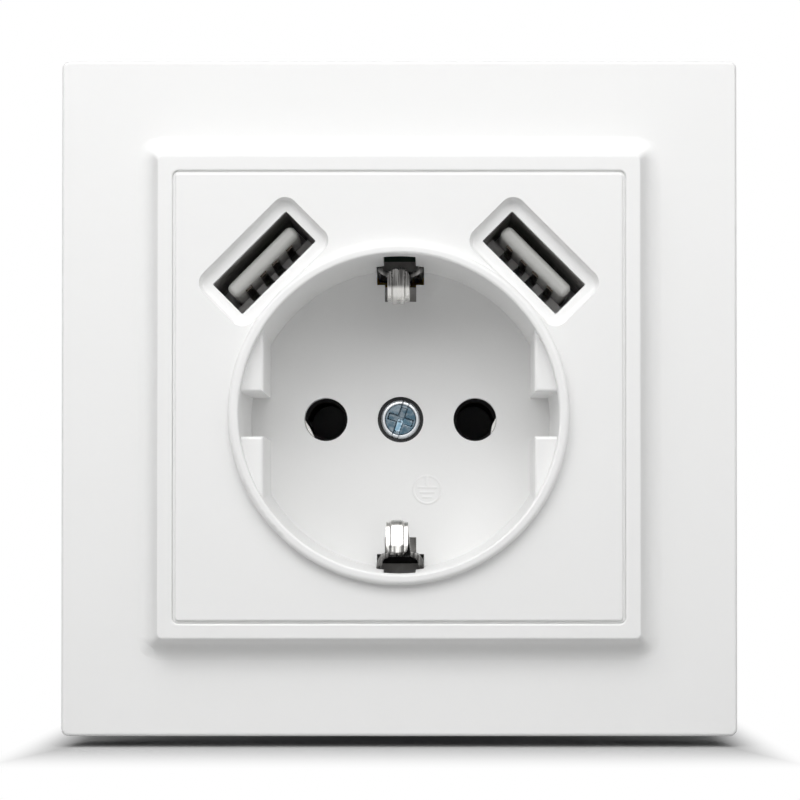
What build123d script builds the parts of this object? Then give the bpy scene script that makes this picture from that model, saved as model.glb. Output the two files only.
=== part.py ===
from build123d import *
import os
from math import cos, hypot, radians, sin

# Flush wall socket with two USB ports, in millimetres.
# X points right, Y into the wall and Z up. The wall's face is the plane Y = 0,
# and the origin is the middle of the outer frame on that plane.

# Outer frame
FRAME_DEPTH = 5.7
FRAME_FLAT = 10.9
FRAME_WALL = 1.8
FRAME_CORNER_R = 0.9
FRAME_EDGE_R = 0.4
BEVEL_WIDTH = 1.15
BEVEL_RISE = 3.1
BEVEL_CORNER_R = 0.6
BEVEL_FOOT_R = 2.3
BORDER_WIDTH = 1.85
BORDER_WALL = 2.0
BORDER_EDGE_R = 0.25
LEDGE_WIDTH = 1.3
LEDGE_THICKNESS = 1.6

# Cover plate and its skirt
COVER_GAP = 0.3
COVER_PROUD = 0.1
COVER_PLATE = 2.2
COVER_MARGIN = 2.223
COVER_CORNER_R = 0.45
COVER_EDGE_R = 0.25
SKIRT_WALL = 1.2

# Plug well
WELL_DROP = 2.1
WELL_DEPTH = 17.5
MOUTH_R = 19.5
WELL_DRAFT = 0.5
RIM_RISE = 1.3
RIM_WIDTH = 1.3
RIM_EDGE_R = 0.6
MOUTH_EDGE_R = 0.3
POT_WALL = 1.3
POT_FLOOR = 2.0
KEY_DEPTH = 3.0
KEY_SET_BACK = 1.6
KEY_NOTCH = 5.4
KEY_EDGE_R = 0.4

# Plug pins and their contacts
PIN_PITCH = 19.0
PIN_R = 2.4
PIN_HOLE_R = 2.75
PIN_LENGTH = 19.0
PIN_TIP_GAP = 3.1
SLEEVE_WALL = 0.6
SLEEVE_LENGTH = 12.6
SLEEVE_SLIT = 0.8
SLEEVE_SEAT = 1.1
TAIL_WIDTH = 5.0
TAIL_THICKNESS = 0.8
TAIL_DEPTH = 9.3
LEAD_TAB_WIDTH = 3.0

# Cover screw
SCREW_HEAD_R = 2.65
SCREW_HEAD_HEIGHT = 1.1
SCREW_RECESS = 1.35
SCREW_RECESS_R = 2.92
SCREW_R = 1.5
SCREW_TAIL = 2.5
SLOT_WIDTH = 0.8
SLOT_DEPTH = 0.6

# Earth blades and the strap that carries them
SLOT_FRONT = 3.0
SLOT_STEP = 12.0
SLOT_NARROW = 4.0
SLOT_WIDE = 6.0
SLOT_BEHIND = 0.55
SLOT_FLOOR = 4.0
BLADE_THICKNESS = 0.55
BLADE_WIDTH = 5.4
TONGUE_WIDTH = 2.9
BEAD_WIDTH = 1.3
BEAD_RISE = 0.25
BLADE_INSET = 1.3
NOSE_REACH = 4.1
TIP_REACH = 0.3
SHOULDER_DEPTH = 13.0
NOSE_DEPTH = 8.0
TIP_DEPTH = 3.7
NOSE_BEND_R = 2.2
SHOULDER_BEND_R = 1.2
BLADE_ROOT = 1.5
STRAP_THICKNESS = 1.0
STRAP_WIDTH = 9.0
STRAP_END = 2.6
ROOT_GAP = 0.4

# Contact base and wire terminals
BASE_SIDE_GAP = 1.3
BASE_TOP = 5.7
BASE_FOOT = 1.0
TERMINAL_WIDTH = 7.2
TERMINAL_HEIGHT = 7.0
TERMINAL_LENGTH = 8.0
TERMINAL_DROP = 13.9
TERMINAL_DEPTH = 9.7
WIRE_R = 1.6
CLAMP_R = 1.5
CLAMP_LENGTH = 6.0
CLAMP_HEAD_R = 2.4
CLAMP_HEAD = 2.0
POCKET_GAP = 0.3

# Rear housing
HOUSING_GAP = 0.5
HOUSING_WALL = 1.2
HOUSING_FLOOR = 1.6
HOUSING_EDGE_R = 0.8
STEP_GAP = 0.3
POT_GAP = 0.4
BOSS_R = 2.5
BOSS_LENGTH = 9.0
BOSS_RIB = 2.0
BOSS_GAP = 0.4
BOSS_ANGLE = 45.0
POST_R = 1.5
POST_INSET = 1.8
POST_ANGLE = 29.0

# Mounting plate, its slots and its screws
PLATE_EDGE_GAP = 4.7
PLATE_CORNER_R = 4.0
PLATE_THICKNESS = 1.0
BOX_SCREW_PITCH = 60.0
BOX_SLOT_WIDTH = 3.5
BOX_SLOT_LENGTH = 6.0
PLATE_TONGUE = 9.0
PLATE_SCREW_R = 1.3
PLATE_SCREW_HEAD_R = 2.3
PLATE_SCREW_HEAD = 1.3
PLATE_SCREW_LENGTH = 7.0

# USB ports
PORT_TURN = 45.0
PORT_POT_GAP = 1.1
PORT_WIDTH = 12.7
PORT_HEIGHT = 5.2
PORT_CORNER_R = 0.2
RECESS_WIDTH = 15.8
RECESS_HEIGHT = 8.5
RECESS_CORNER_R = 1.7
RECESS_DEPTH = 1.25
RECESS_DRAFT = 0.35
RECESS_FOOT_R = 0.4
SHELL_WALL = 0.3
SHELL_GAP = 0.8
INSULATOR_GAP = 0.1
INSULATOR_DEPTH = 6.9
USB_TONGUE_WIDTH = 11.1
USB_TONGUE_THICKNESS = 1.84
USB_TONGUE_MARGIN = 1.3
USB_TONGUE_SET_BACK = 0.5
USB_TONGUE_EDGE_R = 0.3
USB_PIN_WIDTH = 1.0
USB_PIN_THICKNESS = 0.25
USB_PIN_SET_BACK = 1.2
USB_PIN_PLACES = (-3.5, -1.0, 1.0, 3.5)

# Charger board and what stands on it
BOARD_GAP = 0.7
BOARD_THICKNESS = 1.6
BOARD_BASE_GAP = 1.3
BOARD_EDGE_GAP = 0.3
CORE_LENGTH = 13.0
CORE_HEIGHT = 14.0
CORE_LEG = 4.0
CORE_OUTER_LEG = 2.0
CORE_YOKE = 1.6
CORE_MARGIN = 4.6
WINDING_SIDE = 8.4
BOBBIN_GAP = 0.1
BOBBIN_WALL = 0.5
FLANGE_SIDE = 9.4
FLANGE_THICKNESS = 0.7
STAND_OFF = 2.4
BOBBIN_PIN_R = 0.3
INPUT_CAN_R = 4.2
INPUT_CAN_LENGTH = 13.0
INPUT_CAN_GAP = 3.8
INPUT_CAN_RISE = 8.1
OUTPUT_CAN_R = 2.4
OUTPUT_CAN_LENGTH = 9.0
OUTPUT_CAN_GAP = 0.8
OUTPUT_CAN_ANGLES = (117.0, 134.0)
CAN_EDGE_R = 0.5
RECTIFIER_SIZE = (4.4, 2.4, 4.2)
RECTIFIER_GAP = 0.6
RECTIFIER_ANGLE = 65.0
CHIP_SIZE = (4.0, 1.5, 3.6)
CHIP_GAP = 0.9
CHIP_STEP_GAP = 0.2
FUSE_R = 1.9
FUSE_LENGTH = 7.0
FUSE_GAP = 3.8
FUSE_RISE = 5.7
LEAD_R = 0.8
LEAD_INSET = 1.5

# Spreader claws
CLAW_SKIRT_GAP = 0.5
CLAW_STEP_GAP = 0.9
CLAW_SCREW_R = 1.6
CLAW_SCREW_TAIL = 3.6
CLAW_HEAD_R = 2.2
CLAW_HEAD = 1.8
CLAW_HEAD_GAP = 0.45
CLAW_SLOT_GAP = 0.4
CLAW_OUTSIDE = 4.6
CLAW_SIDE_GAP = 1.5
CLAW_INNER_GAP = 0.9
CLAW_WIDTH = 9.0
CLAW_SHEET = 1.4
CLAW_BEND_R = 0.4
CLAW_PLACE = 20.0
CLAW_ARM = 10.0
CLAW_FIT = 0.15
TOOTH_HEIGHT = 0.9
TOOTH_PITCH = 2.0
TOOTH_COUNT = 3

# Levels along Y, from the front to the back
FLAT_Y = -FRAME_DEPTH
BORDER_Y = FLAT_Y - BEVEL_RISE
COVER_Y = BORDER_Y - COVER_PROUD
COVER_BACK_Y = COVER_Y + COVER_PLATE
RIM_Y = COVER_Y - RIM_RISE
KEY_Y = RIM_Y + KEY_SET_BACK
FLOOR_Y = RIM_Y + WELL_DEPTH
POT_BACK_Y = FLOOR_Y + POT_FLOOR
PLATE_Y = -PLATE_THICKNESS
LEDGE_Y = PLATE_Y - LEDGE_THICKNESS
STRAP_BACK_Y = POT_BACK_Y + STRAP_THICKNESS
BASE_BACK_Y = FLOOR_Y + PIN_LENGTH + PIN_TIP_GAP
HOUSING_BACK_Y = BASE_BACK_Y + HOUSING_FLOOR
BOARD_Y = STRAP_BACK_Y + BOARD_GAP
BOARD_BACK_Y = BOARD_Y + BOARD_THICKNESS

# Sizes that follow from the ones above
WELL_Z = -WELL_DROP
WELL = (0, WELL_Z)
RIM_R = MOUTH_R + RIM_WIDTH
POT_R = MOUTH_R + POT_WALL
FLOOR_R = MOUTH_R - WELL_DRAFT
KEY_FLAT = MOUTH_R - KEY_DEPTH
SLEEVE_R = PIN_R + SLEEVE_WALL
TERMINAL_Z = WELL_Z - TERMINAL_DROP
TERMINAL_PLACES = (-PIN_PITCH / 2, 0, PIN_PITCH / 2)
BASE_BOTTOM = TERMINAL_DROP + TERMINAL_HEIGHT / 2 + BASE_FOOT

# Earth blades, measured from the middle of the well
BLADE_R = FLOOR_R - BLADE_INSET
NOSE_R = BLADE_R - NOSE_REACH
TIP_R = BLADE_R - TIP_REACH
SLOT_WIDE_R = BLADE_R - SLOT_BEHIND
SLOT_INNER_R = FLOOR_R - SLOT_FLOOR
HINGE_Y = POT_BACK_Y + STRAP_THICKNESS / 2

# Ports, which stand clear of the well and set the size of the cover and the frame
TURN_COS = cos(radians(PORT_TURN))
TURN_SIN = sin(radians(PORT_TURN))
SHELL_WIDTH = PORT_WIDTH + 2 * SHELL_WALL
SHELL_HEIGHT = PORT_HEIGHT + 2 * SHELL_WALL
PORT_DISTANCE = POT_R - WELL_DROP * TURN_COS + PORT_POT_GAP + SHELL_HEIGHT / 2
PORT_X = PORT_DISTANCE * TURN_SIN
PORT_Z = PORT_DISTANCE * TURN_COS
PORT_SPREAD = SHELL_WIDTH / 2 * TURN_COS + SHELL_HEIGHT / 2 * TURN_SIN
RECESS_SPREAD = RECESS_WIDTH / 2 * TURN_COS + RECESS_HEIGHT / 2 * TURN_SIN
COVER_SIDE = 2 * (PORT_X + RECESS_SPREAD + COVER_MARGIN)
OPENING = COVER_SIDE + 2 * COVER_GAP
FRAME_SIDE = OPENING + 2 * (BORDER_WIDTH + BEVEL_WIDTH + FRAME_FLAT)
PLATE_SIDE = FRAME_SIDE - 2 * (FRAME_WALL + PLATE_EDGE_GAP)

# Rear housing round the ports, with the claws between its flats and the cover's skirt
HOUSING_R = hypot(PORT_DISTANCE + SHELL_HEIGHT / 2, SHELL_WIDTH / 2) + HOUSING_GAP + HOUSING_WALL
HOUSING_STEP = PORT_Z - PORT_SPREAD - STEP_GAP - HOUSING_WALL
CLAW_X = COVER_SIDE / 2 - SKIRT_WALL - CLAW_SKIRT_GAP - CLAW_HEAD_R
CLAW_Z = HOUSING_STEP - CLAW_STEP_GAP - CLAW_WIDTH / 2
CLAW_REACH = CLAW_X + CLAW_OUTSIDE
HOUSING_FLAT = CLAW_X - CLAW_SCREW_R - CLAW_SIDE_GAP
BASE_WIDTH = 2 * (HOUSING_FLAT - HOUSING_WALL - BASE_SIDE_GAP)
BOSS_DISTANCE = POT_R + POT_GAP + BOSS_GAP + BOSS_R
PLATE_SCREW_TOP = WELL_Z + BOSS_DISTANCE
INNER_R = HOUSING_R - HOUSING_WALL
POST_X = (INNER_R - POST_INSET) * cos(radians(POST_ANGLE))
POST_Z = (INNER_R - POST_INSET) * sin(radians(POST_ANGLE))

# Places on the board, measured from its low edge, the transformer and the housing's wall
BOARD_LOW = WELL_Z + BASE_TOP + BOARD_BASE_GAP
LEAD_Z = BOARD_LOW + LEAD_INSET
CORE_Z = BOARD_LOW + CORE_MARGIN + CORE_HEIGHT / 2
CORE_END = CORE_LENGTH / 2
INPUT_CAN_PLACE = (CORE_END + INPUT_CAN_GAP + INPUT_CAN_R, BOARD_LOW + INPUT_CAN_RISE)
RECTIFIER_R = INNER_R - RECTIFIER_GAP - hypot(RECTIFIER_SIZE[0], RECTIFIER_SIZE[2]) / 2
CHIP_Z = HOUSING_STEP + HOUSING_WALL + CHIP_STEP_GAP + CHIP_SIZE[2] / 2
CHIP_PLACE = (-POST_X + POST_R + CHIP_GAP + CHIP_SIZE[0] / 2, CHIP_Z)
FUSE_PLACE = (-CORE_END - FUSE_GAP - FUSE_R, BOARD_LOW + FUSE_RISE)
OUTPUT_CAN_DISTANCE = INNER_R - OUTPUT_CAN_GAP - OUTPUT_CAN_R

# Cutters run past the faces that they open, and levels are told apart by this much
CUT_OVER = 1.0
LEVEL_TOLERANCE = 0.001


def middle(span):
    """Halfway point of a (low, high) pair."""
    return (span[0] + span[1]) / 2


def around(centre, width):
    """(low, high) pair of this width about a centre."""
    return (centre - width / 2, centre + width / 2)


def polar(distance, angle):
    """(x, z) place at a distance from the middle, at an angle from X in degrees."""
    return (distance * cos(radians(angle)), distance * sin(radians(angle)))


def block(x, y, z):
    """Box between three (low, high) pairs."""
    size = [span[1] - span[0] for span in (x, y, z)]
    return Pos(middle(x), middle(y), middle(z)) * Box(*size)


def rod(place, radius, y):
    """Cylinder along Y at an (x, z) place."""
    return Pos(place[0], middle(y), place[1]) * Rot(90, 0, 0) * Cylinder(radius, y[1] - y[0])


def pillar(x, y, radius, z):
    """Cylinder along Z."""
    return Pos(x, y, middle(z)) * Cylinder(radius, z[1] - z[0])


def frustum(place, front_r, back_r, y):
    """Cone along Y, from a front radius to a back one."""
    return Pos(place[0], middle(y), place[1]) * Rot(-90, 0, 0) * Cone(front_r, back_r, y[1] - y[0])


def at_level(sketch, y):
    """Sketch drawn in X and Z, laid at a level along Y."""
    return Plane.XZ.offset(-y) * sketch


def prism(sketch, y):
    """Sketch drawn in X and Z, drawn out between two levels along Y."""
    return extrude(at_level(sketch, y[0]), -(y[1] - y[0]))


def edges_at(shape, y):
    """Edges that lie in a level along Y."""
    return shape.edges().filter_by_position(Axis.Y, y - LEVEL_TOLERANCE, y + LEVEL_TOLERANCE)


def half_side(edge):
    """Greatest distance of an edge's middle from the axis along Y, along X or Z."""
    middle = edge.center()
    return max(abs(middle.X), abs(middle.Z))


def square(side, corner_r):
    """Square with rounded corners."""
    return RectangleRounded(side, side, corner_r)


def port(side):
    """Place of a USB port: its own X runs along the slot and its own Z to the cover's corner."""
    return Pos(side * PORT_X, 0, PORT_Z) * Rot(0, side * PORT_TURN, 0)


def outer_frame():
    """Trim frame: flat border, hollow bevel, raised inner border and the ledge that the cover rests on."""
    flat = prism(square(FRAME_SIDE, FRAME_CORNER_R), (FLAT_Y, 0))
    flat = fillet(edges_at(flat, FLAT_Y), FRAME_EDGE_R)
    border_side = OPENING + 2 * BORDER_WIDTH
    foot_side = border_side + 2 * BEVEL_WIDTH
    foot = at_level(square(foot_side, BEVEL_CORNER_R), FLAT_Y)
    top = at_level(square(border_side, BEVEL_CORNER_R), BORDER_Y)
    mouth_r = COVER_CORNER_R + COVER_GAP
    mouth = prism(square(OPENING, mouth_r), (BORDER_Y - CUT_OVER, LEDGE_Y))
    bevel = loft([foot.face(), top.face()], ruled=True)
    shell = flat + bevel
    reach = foot_side / 2 + LEVEL_TOLERANCE
    foot_edges = [edge for edge in edges_at(shell, FLAT_Y) if half_side(edge) < reach]
    shell = fillet(foot_edges, BEVEL_FOOT_R) - mouth
    shell = fillet(edges_at(shell, BORDER_Y), BORDER_EDGE_R)
    way = prism(square(OPENING - 2 * LEDGE_WIDTH, COVER_CORNER_R), (LEDGE_Y - CUT_OVER, CUT_OVER))
    inner_side = FRAME_SIDE - 2 * FRAME_WALL
    tube_side = OPENING + 2 * BORDER_WALL
    hollow = square(inner_side, FRAME_CORNER_R) - square(tube_side, mouth_r)
    frame = shell - way
    frame -= prism(hollow, (FLAT_Y + FRAME_WALL, CUT_OVER))
    frame -= prism(square(inner_side, FRAME_CORNER_R), (PLATE_Y, CUT_OVER))
    return frame


def key_block(side, half):
    """Half of one of the flats that turn the plug the right way."""
    reach = MOUTH_R + POT_WALL / 2
    key = rod(WELL, reach, (KEY_Y, FLOOR_Y + POT_FLOOR / 2))
    x = sorted((side * KEY_FLAT, side * POT_R))
    z = sorted((WELL_Z + half * KEY_NOTCH / 2, WELL_Z + half * POT_R))
    key &= block(x, (KEY_Y - CUT_OVER, POT_BACK_Y), z)
    return fillet(edges_at(key, KEY_Y).filter_by(GeomType.LINE), KEY_EDGE_R)


def earth_slot(side):
    """Stepped slot for an earth blade, above or below the middle of the well."""
    def radial(inner_r, outer_r):
        return sorted((WELL_Z + side * inner_r, WELL_Z + side * outer_r))

    step_y = RIM_Y + SLOT_STEP
    outside = POT_R + CUT_OVER
    narrow = around(0, SLOT_NARROW)
    slot = block(narrow, (RIM_Y + SLOT_FRONT, POT_BACK_Y + CUT_OVER), radial(SLOT_WIDE_R, outside))
    slot += block(around(0, SLOT_WIDE), (step_y, POT_BACK_Y + CUT_OVER), radial(SLOT_WIDE_R, outside))
    slot += block(narrow, (FLOOR_Y - CUT_OVER, POT_BACK_Y + CUT_OVER), radial(SLOT_INNER_R, outside))
    return slot


def port_recess(side):
    """Shallow tub round a USB opening, which stops at the side of the well's rim."""
    wide = RectangleRounded(RECESS_WIDTH, RECESS_HEIGHT, RECESS_CORNER_R)
    floor_width = RECESS_WIDTH - 2 * RECESS_DRAFT
    floor_height = RECESS_HEIGHT - 2 * RECESS_DRAFT
    small = RectangleRounded(floor_width, floor_height, RECESS_CORNER_R - RECESS_DRAFT)
    floor_y = COVER_Y + RECESS_DEPTH
    tub = loft([at_level(wide, COVER_Y).face(), at_level(small, floor_y).face()], ruled=True)
    tub = fillet(edges_at(tub, floor_y), RECESS_FOOT_R)
    return port(side) * tub - rod(WELL, RIM_R, (COVER_Y - CUT_OVER, floor_y + CUT_OVER))


def port_opening(side):
    """Way through the cover to a USB port."""
    slot = RectangleRounded(PORT_WIDTH, PORT_HEIGHT, PORT_CORNER_R)
    return port(side) * prism(slot, (COVER_Y, COVER_BACK_Y + CUT_OVER))


def socket_cover():
    """Square cover with the round plug well and the two port openings."""
    outline = square(COVER_SIDE, COVER_CORNER_R)
    cover = prism(outline, (COVER_Y, COVER_BACK_Y))
    cover = fillet(edges_at(cover, COVER_Y), COVER_EDGE_R)
    hollow = square(COVER_SIDE - 2 * SKIRT_WALL, COVER_CORNER_R)
    cover += prism(outline - hollow, (COVER_BACK_Y, LEDGE_Y))
    cover += rod(WELL, POT_R, (COVER_BACK_Y, POT_BACK_Y))
    for side in (-1, 1):
        cover -= port_recess(side)
        cover -= port_opening(side)
    rim = rod(WELL, RIM_R, (RIM_Y, COVER_BACK_Y))
    cover += fillet(edges_at(rim, RIM_Y), RIM_EDGE_R)
    cover -= frustum(WELL, MOUTH_R, FLOOR_R, (RIM_Y, FLOOR_Y))
    mouth = edges_at(cover, RIM_Y).sort_by(SortBy.RADIUS)[0]
    cover = fillet(mouth, MOUTH_EDGE_R)
    for side in (-1, 1):
        for half in (-1, 1):
            cover += key_block(side, half)
        cover -= earth_slot(side)
        cover -= rod((side * PIN_PITCH / 2, WELL_Z), PIN_HOLE_R, (FLOOR_Y, POT_BACK_Y))
    cover -= rod(WELL, SCREW_RECESS_R, (FLOOR_Y, FLOOR_Y + SCREW_RECESS))
    cover -= rod(WELL, SCREW_R + POCKET_GAP, (FLOOR_Y, POT_BACK_Y))
    return cover


def slotted_head(place, radius, y):
    """Round screw head with a cross of two slots in its front."""
    head = rod(place, radius, y)
    head = fillet(edges_at(head, y[0]), SLOT_DEPTH / 3)
    slot_y = (y[0] - CUT_OVER, y[0] + SLOT_DEPTH)
    across = around(place[0], SLOT_WIDTH)
    head -= block(across, slot_y, around(place[1], 2 * radius))
    head -= block(around(place[0], radius), slot_y, around(place[1], SLOT_WIDTH))
    return head


def cover_screw():
    """Screw that draws the cover onto the earth strap."""
    seat_y = FLOOR_Y + SCREW_RECESS
    head = slotted_head(WELL, SCREW_HEAD_R, (seat_y - SCREW_HEAD_HEIGHT, seat_y))
    return head + rod(WELL, SCREW_R, (seat_y, STRAP_BACK_Y + SCREW_TAIL))


def earth_contact(side):
    """Sprung earth blade: wide root plate, narrow tongue with a nose and a turned-out tip, and a bead."""
    def point(radius, y):
        return (y, WELL_Z + side * radius)

    def strip(inward, width, first_y):
        path = FilletPolyline(
            point(BLADE_R - inward, first_y),
            point(BLADE_R - inward, RIM_Y + SHOULDER_DEPTH),
            point(NOSE_R - inward, RIM_Y + NOSE_DEPTH),
            point(TIP_R - inward, RIM_Y + TIP_DEPTH),
            radius=[SHOULDER_BEND_R, NOSE_BEND_R],
        )
        return extrude(Plane.YZ * trace(path, BLADE_THICKNESS), width / 2, both=True)

    root_y = HINGE_Y + BLADE_ROOT
    shoulder_y = RIM_Y + SHOULDER_DEPTH + SHOULDER_BEND_R
    thickness = around(WELL_Z + side * BLADE_R, BLADE_THICKNESS)
    plate = block(around(0, BLADE_WIDTH), (shoulder_y, root_y), thickness)
    bead_y = RIM_Y + SHOULDER_DEPTH + 2 * SHOULDER_BEND_R
    return plate + strip(0, TONGUE_WIDTH, root_y) + strip(BEAD_RISE, BEAD_WIDTH, bead_y)


def earth_strap():
    """Flat strap behind the well floor, threaded for the cover screw, with a tab to the earth terminal."""
    reach = BLADE_R + STRAP_END
    level = (POT_BACK_Y, STRAP_BACK_Y)
    strap = block(around(0, STRAP_WIDTH), level, around(WELL_Z, 2 * reach))
    strap -= rod(WELL, SCREW_R, level)
    for side in (-1, 1):
        root_width = around(0, BLADE_WIDTH + 2 * ROOT_GAP)
        root_height = around(WELL_Z + side * BLADE_R, BLADE_THICKNESS + 2 * ROOT_GAP)
        strap -= block(root_width, level, root_height)
    tab_z = TERMINAL_Z + TERMINAL_HEIGHT / 2
    tab_y = (POT_BACK_Y, STRAP_BACK_Y + TERMINAL_DEPTH)
    return strap + block(around(0, TAIL_WIDTH), tab_y, (tab_z, tab_z + TAIL_THICKNESS))


def terminal(x):
    """Wire block: the wire comes in from behind, and a screw from below clamps it."""
    first_y = STRAP_BACK_Y + TERMINAL_DEPTH - TERMINAL_LENGTH / 2
    y = (first_y, first_y + TERMINAL_LENGTH)
    shape = block(around(x, TERMINAL_WIDTH), y, around(TERMINAL_Z, TERMINAL_HEIGHT))
    shape -= rod((x, TERMINAL_Z), WIRE_R, y)
    return shape - pillar(x, middle(y), CLAMP_R, (TERMINAL_Z - TERMINAL_HEIGHT, TERMINAL_Z))


def terminal_screw(x):
    """Clamping screw of a wire block."""
    y = STRAP_BACK_Y + TERMINAL_DEPTH
    tip_z = TERMINAL_Z - WIRE_R
    seat_z = tip_z - CLAMP_LENGTH
    screw = pillar(x, y, CLAMP_R, (seat_z, tip_z))
    head = pillar(x, y, CLAMP_HEAD_R, (seat_z - CLAMP_HEAD, seat_z))
    slot_z = (seat_z - CLAMP_HEAD - CUT_OVER, seat_z - CLAMP_HEAD + SLOT_DEPTH)
    return screw + head - block(around(x, 2 * CLAMP_HEAD_R), around(y, SLOT_WIDTH), slot_z)


def pin_contact(side):
    """Slit sleeve that grips a plug pin, with a tail to its terminal and a tab for the charger lead."""
    x = side * PIN_PITCH / 2
    y = (STRAP_BACK_Y + SLEEVE_SEAT, STRAP_BACK_Y + SLEEVE_SEAT + SLEEVE_LENGTH)
    tail_y = around(STRAP_BACK_Y + TAIL_DEPTH, TAIL_THICKNESS)
    terminal_top = TERMINAL_Z + TERMINAL_HEIGHT / 2
    contact = rod((x, WELL_Z), SLEEVE_R, y)
    contact += block(around(x, TAIL_WIDTH), tail_y, (terminal_top, WELL_Z))
    contact += block(around(x, LEAD_TAB_WIDTH), tail_y, (WELL_Z, LEAD_Z + LEAD_R))
    contact -= rod((x, WELL_Z), PIN_R, y)
    slit = sorted((x, x + side * 2 * SLEEVE_R))
    return contact - block(slit, y, around(WELL_Z, SLEEVE_SLIT))


def contact_base():
    """Moulded block behind the well, with pockets for the pin contacts and the wire blocks."""
    depth = (STRAP_BACK_Y, BASE_BACK_Y)
    tail_front = STRAP_BACK_Y + TAIL_DEPTH - TAIL_THICKNESS / 2 - POCKET_GAP
    tail_back = BASE_BACK_Y + CUT_OVER
    block_y = STRAP_BACK_Y + TERMINAL_DEPTH - TERMINAL_LENGTH / 2
    block_top = TERMINAL_Z + TERMINAL_HEIGHT / 2
    base = block(around(0, BASE_WIDTH), depth, (WELL_Z - BASE_BOTTOM, WELL_Z + BASE_TOP))
    base -= rod(WELL, SCREW_R + POCKET_GAP, (STRAP_BACK_Y, STRAP_BACK_Y + SCREW_TAIL + POCKET_GAP))
    for side in (-1, 1):
        x = side * PIN_PITCH / 2
        base -= rod((x, WELL_Z), PIN_HOLE_R, depth)
        base -= rod((x, WELL_Z), SLEEVE_R + POCKET_GAP, (STRAP_BACK_Y + SLEEVE_SEAT, tail_back))
        tail_z = (block_top - POCKET_GAP, WELL_Z)
        base -= block(around(x, TAIL_WIDTH + 2 * POCKET_GAP), (tail_front, tail_back), tail_z)
        tab_z = (WELL_Z, WELL_Z + BASE_TOP + CUT_OVER)
        base -= block(around(x, LEAD_TAB_WIDTH + 2 * POCKET_GAP), (tail_front, tail_back), tab_z)
    for x in TERMINAL_PLACES:
        pocket_z = (WELL_Z - BASE_BOTTOM - CUT_OVER, block_top)
        base -= block(around(x, TERMINAL_WIDTH), (block_y, tail_back), pocket_z)
    tab_z = (block_top, block_top + TAIL_THICKNESS + POCKET_GAP)
    base -= block(around(0, TAIL_WIDTH + 2 * POCKET_GAP), (STRAP_BACK_Y, tail_back), tab_z)
    root_y = (STRAP_BACK_Y, HINGE_Y + BLADE_ROOT + ROOT_GAP)
    root_z = around(WELL_Z - BLADE_R, BLADE_THICKNESS + 2 * ROOT_GAP)
    return base - block(around(0, BLADE_WIDTH + 2 * ROOT_GAP), root_y, root_z)


def plate_screw_places():
    """Places of the screws between the mounting plate and the rear housing."""
    across = BOSS_DISTANCE * cos(radians(BOSS_ANGLE))
    low = WELL_Z - BOSS_DISTANCE * sin(radians(BOSS_ANGLE))
    return [(0, PLATE_SCREW_TOP), (-across, low), (across, low)]


def housing_outline(inset):
    """Outline of the rear housing: a circle, cut flat at the sides below the ports."""
    outline = Circle(HOUSING_R - inset)
    flat = HOUSING_FLAT - inset
    step = HOUSING_STEP + inset
    for side in (-1, 1):
        outline -= Pos(side * (flat + HOUSING_R / 2), step - HOUSING_R) * Rectangle(HOUSING_R, 2 * HOUSING_R)
    return outline


def housing_shell():
    """Cup behind the wall, open round the plug well, with screw bosses, board posts and wire holes."""
    floor_y = BASE_BACK_Y
    housing = prism(housing_outline(0), (0, HOUSING_BACK_Y))
    housing = fillet(edges_at(housing, HOUSING_BACK_Y), HOUSING_EDGE_R)
    housing -= prism(housing_outline(HOUSING_WALL), (-CUT_OVER, floor_y))
    for place in plate_screw_places():
        housing += rod(place, BOSS_R, (0, BOSS_LENGTH)) & prism(housing_outline(0), (0, BOSS_LENGTH))
    rib_z = (PLATE_SCREW_TOP, HOUSING_R - HOUSING_WALL / 2)
    housing += block(around(0, BOSS_RIB), (0, BOSS_LENGTH), rib_z)
    for place in plate_screw_places():
        housing -= rod(place, PLATE_SCREW_R, (-CUT_OVER, PLATE_SCREW_LENGTH))
    housing -= rod(WELL, POT_R + POT_GAP, (-CUT_OVER, POT_BACK_Y + POT_GAP))
    for side in (-1, 1):
        housing += rod((side * POST_X, POST_Z), POST_R, (BOARD_BACK_Y, floor_y))
    clamp_y = STRAP_BACK_Y + TERMINAL_DEPTH
    for x in TERMINAL_PLACES:
        housing -= rod((x, TERMINAL_Z), WIRE_R, (floor_y, HOUSING_BACK_Y))
        housing -= pillar(x, clamp_y, CLAMP_HEAD_R + POCKET_GAP, (-HOUSING_R - CUT_OVER, TERMINAL_Z))
    return housing


def rear_housing():
    """Lower half of the cup, round the contact base and the wire terminals."""
    return housing_shell() & block(around(0, 2 * HOUSING_R), (0, HOUSING_BACK_Y), (-HOUSING_R, HOUSING_STEP))


def charger_cap():
    """Upper half of the cup, over the charger."""
    return housing_shell() & block(around(0, 2 * HOUSING_R), (0, HOUSING_BACK_Y), (HOUSING_STEP, HOUSING_R))


def claw_slot():
    """Slot in the plate that lets a claw screw tilt."""
    across = 2 * (CLAW_SCREW_R + CLAW_SLOT_GAP)
    return Rectangle(across, across)


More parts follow.
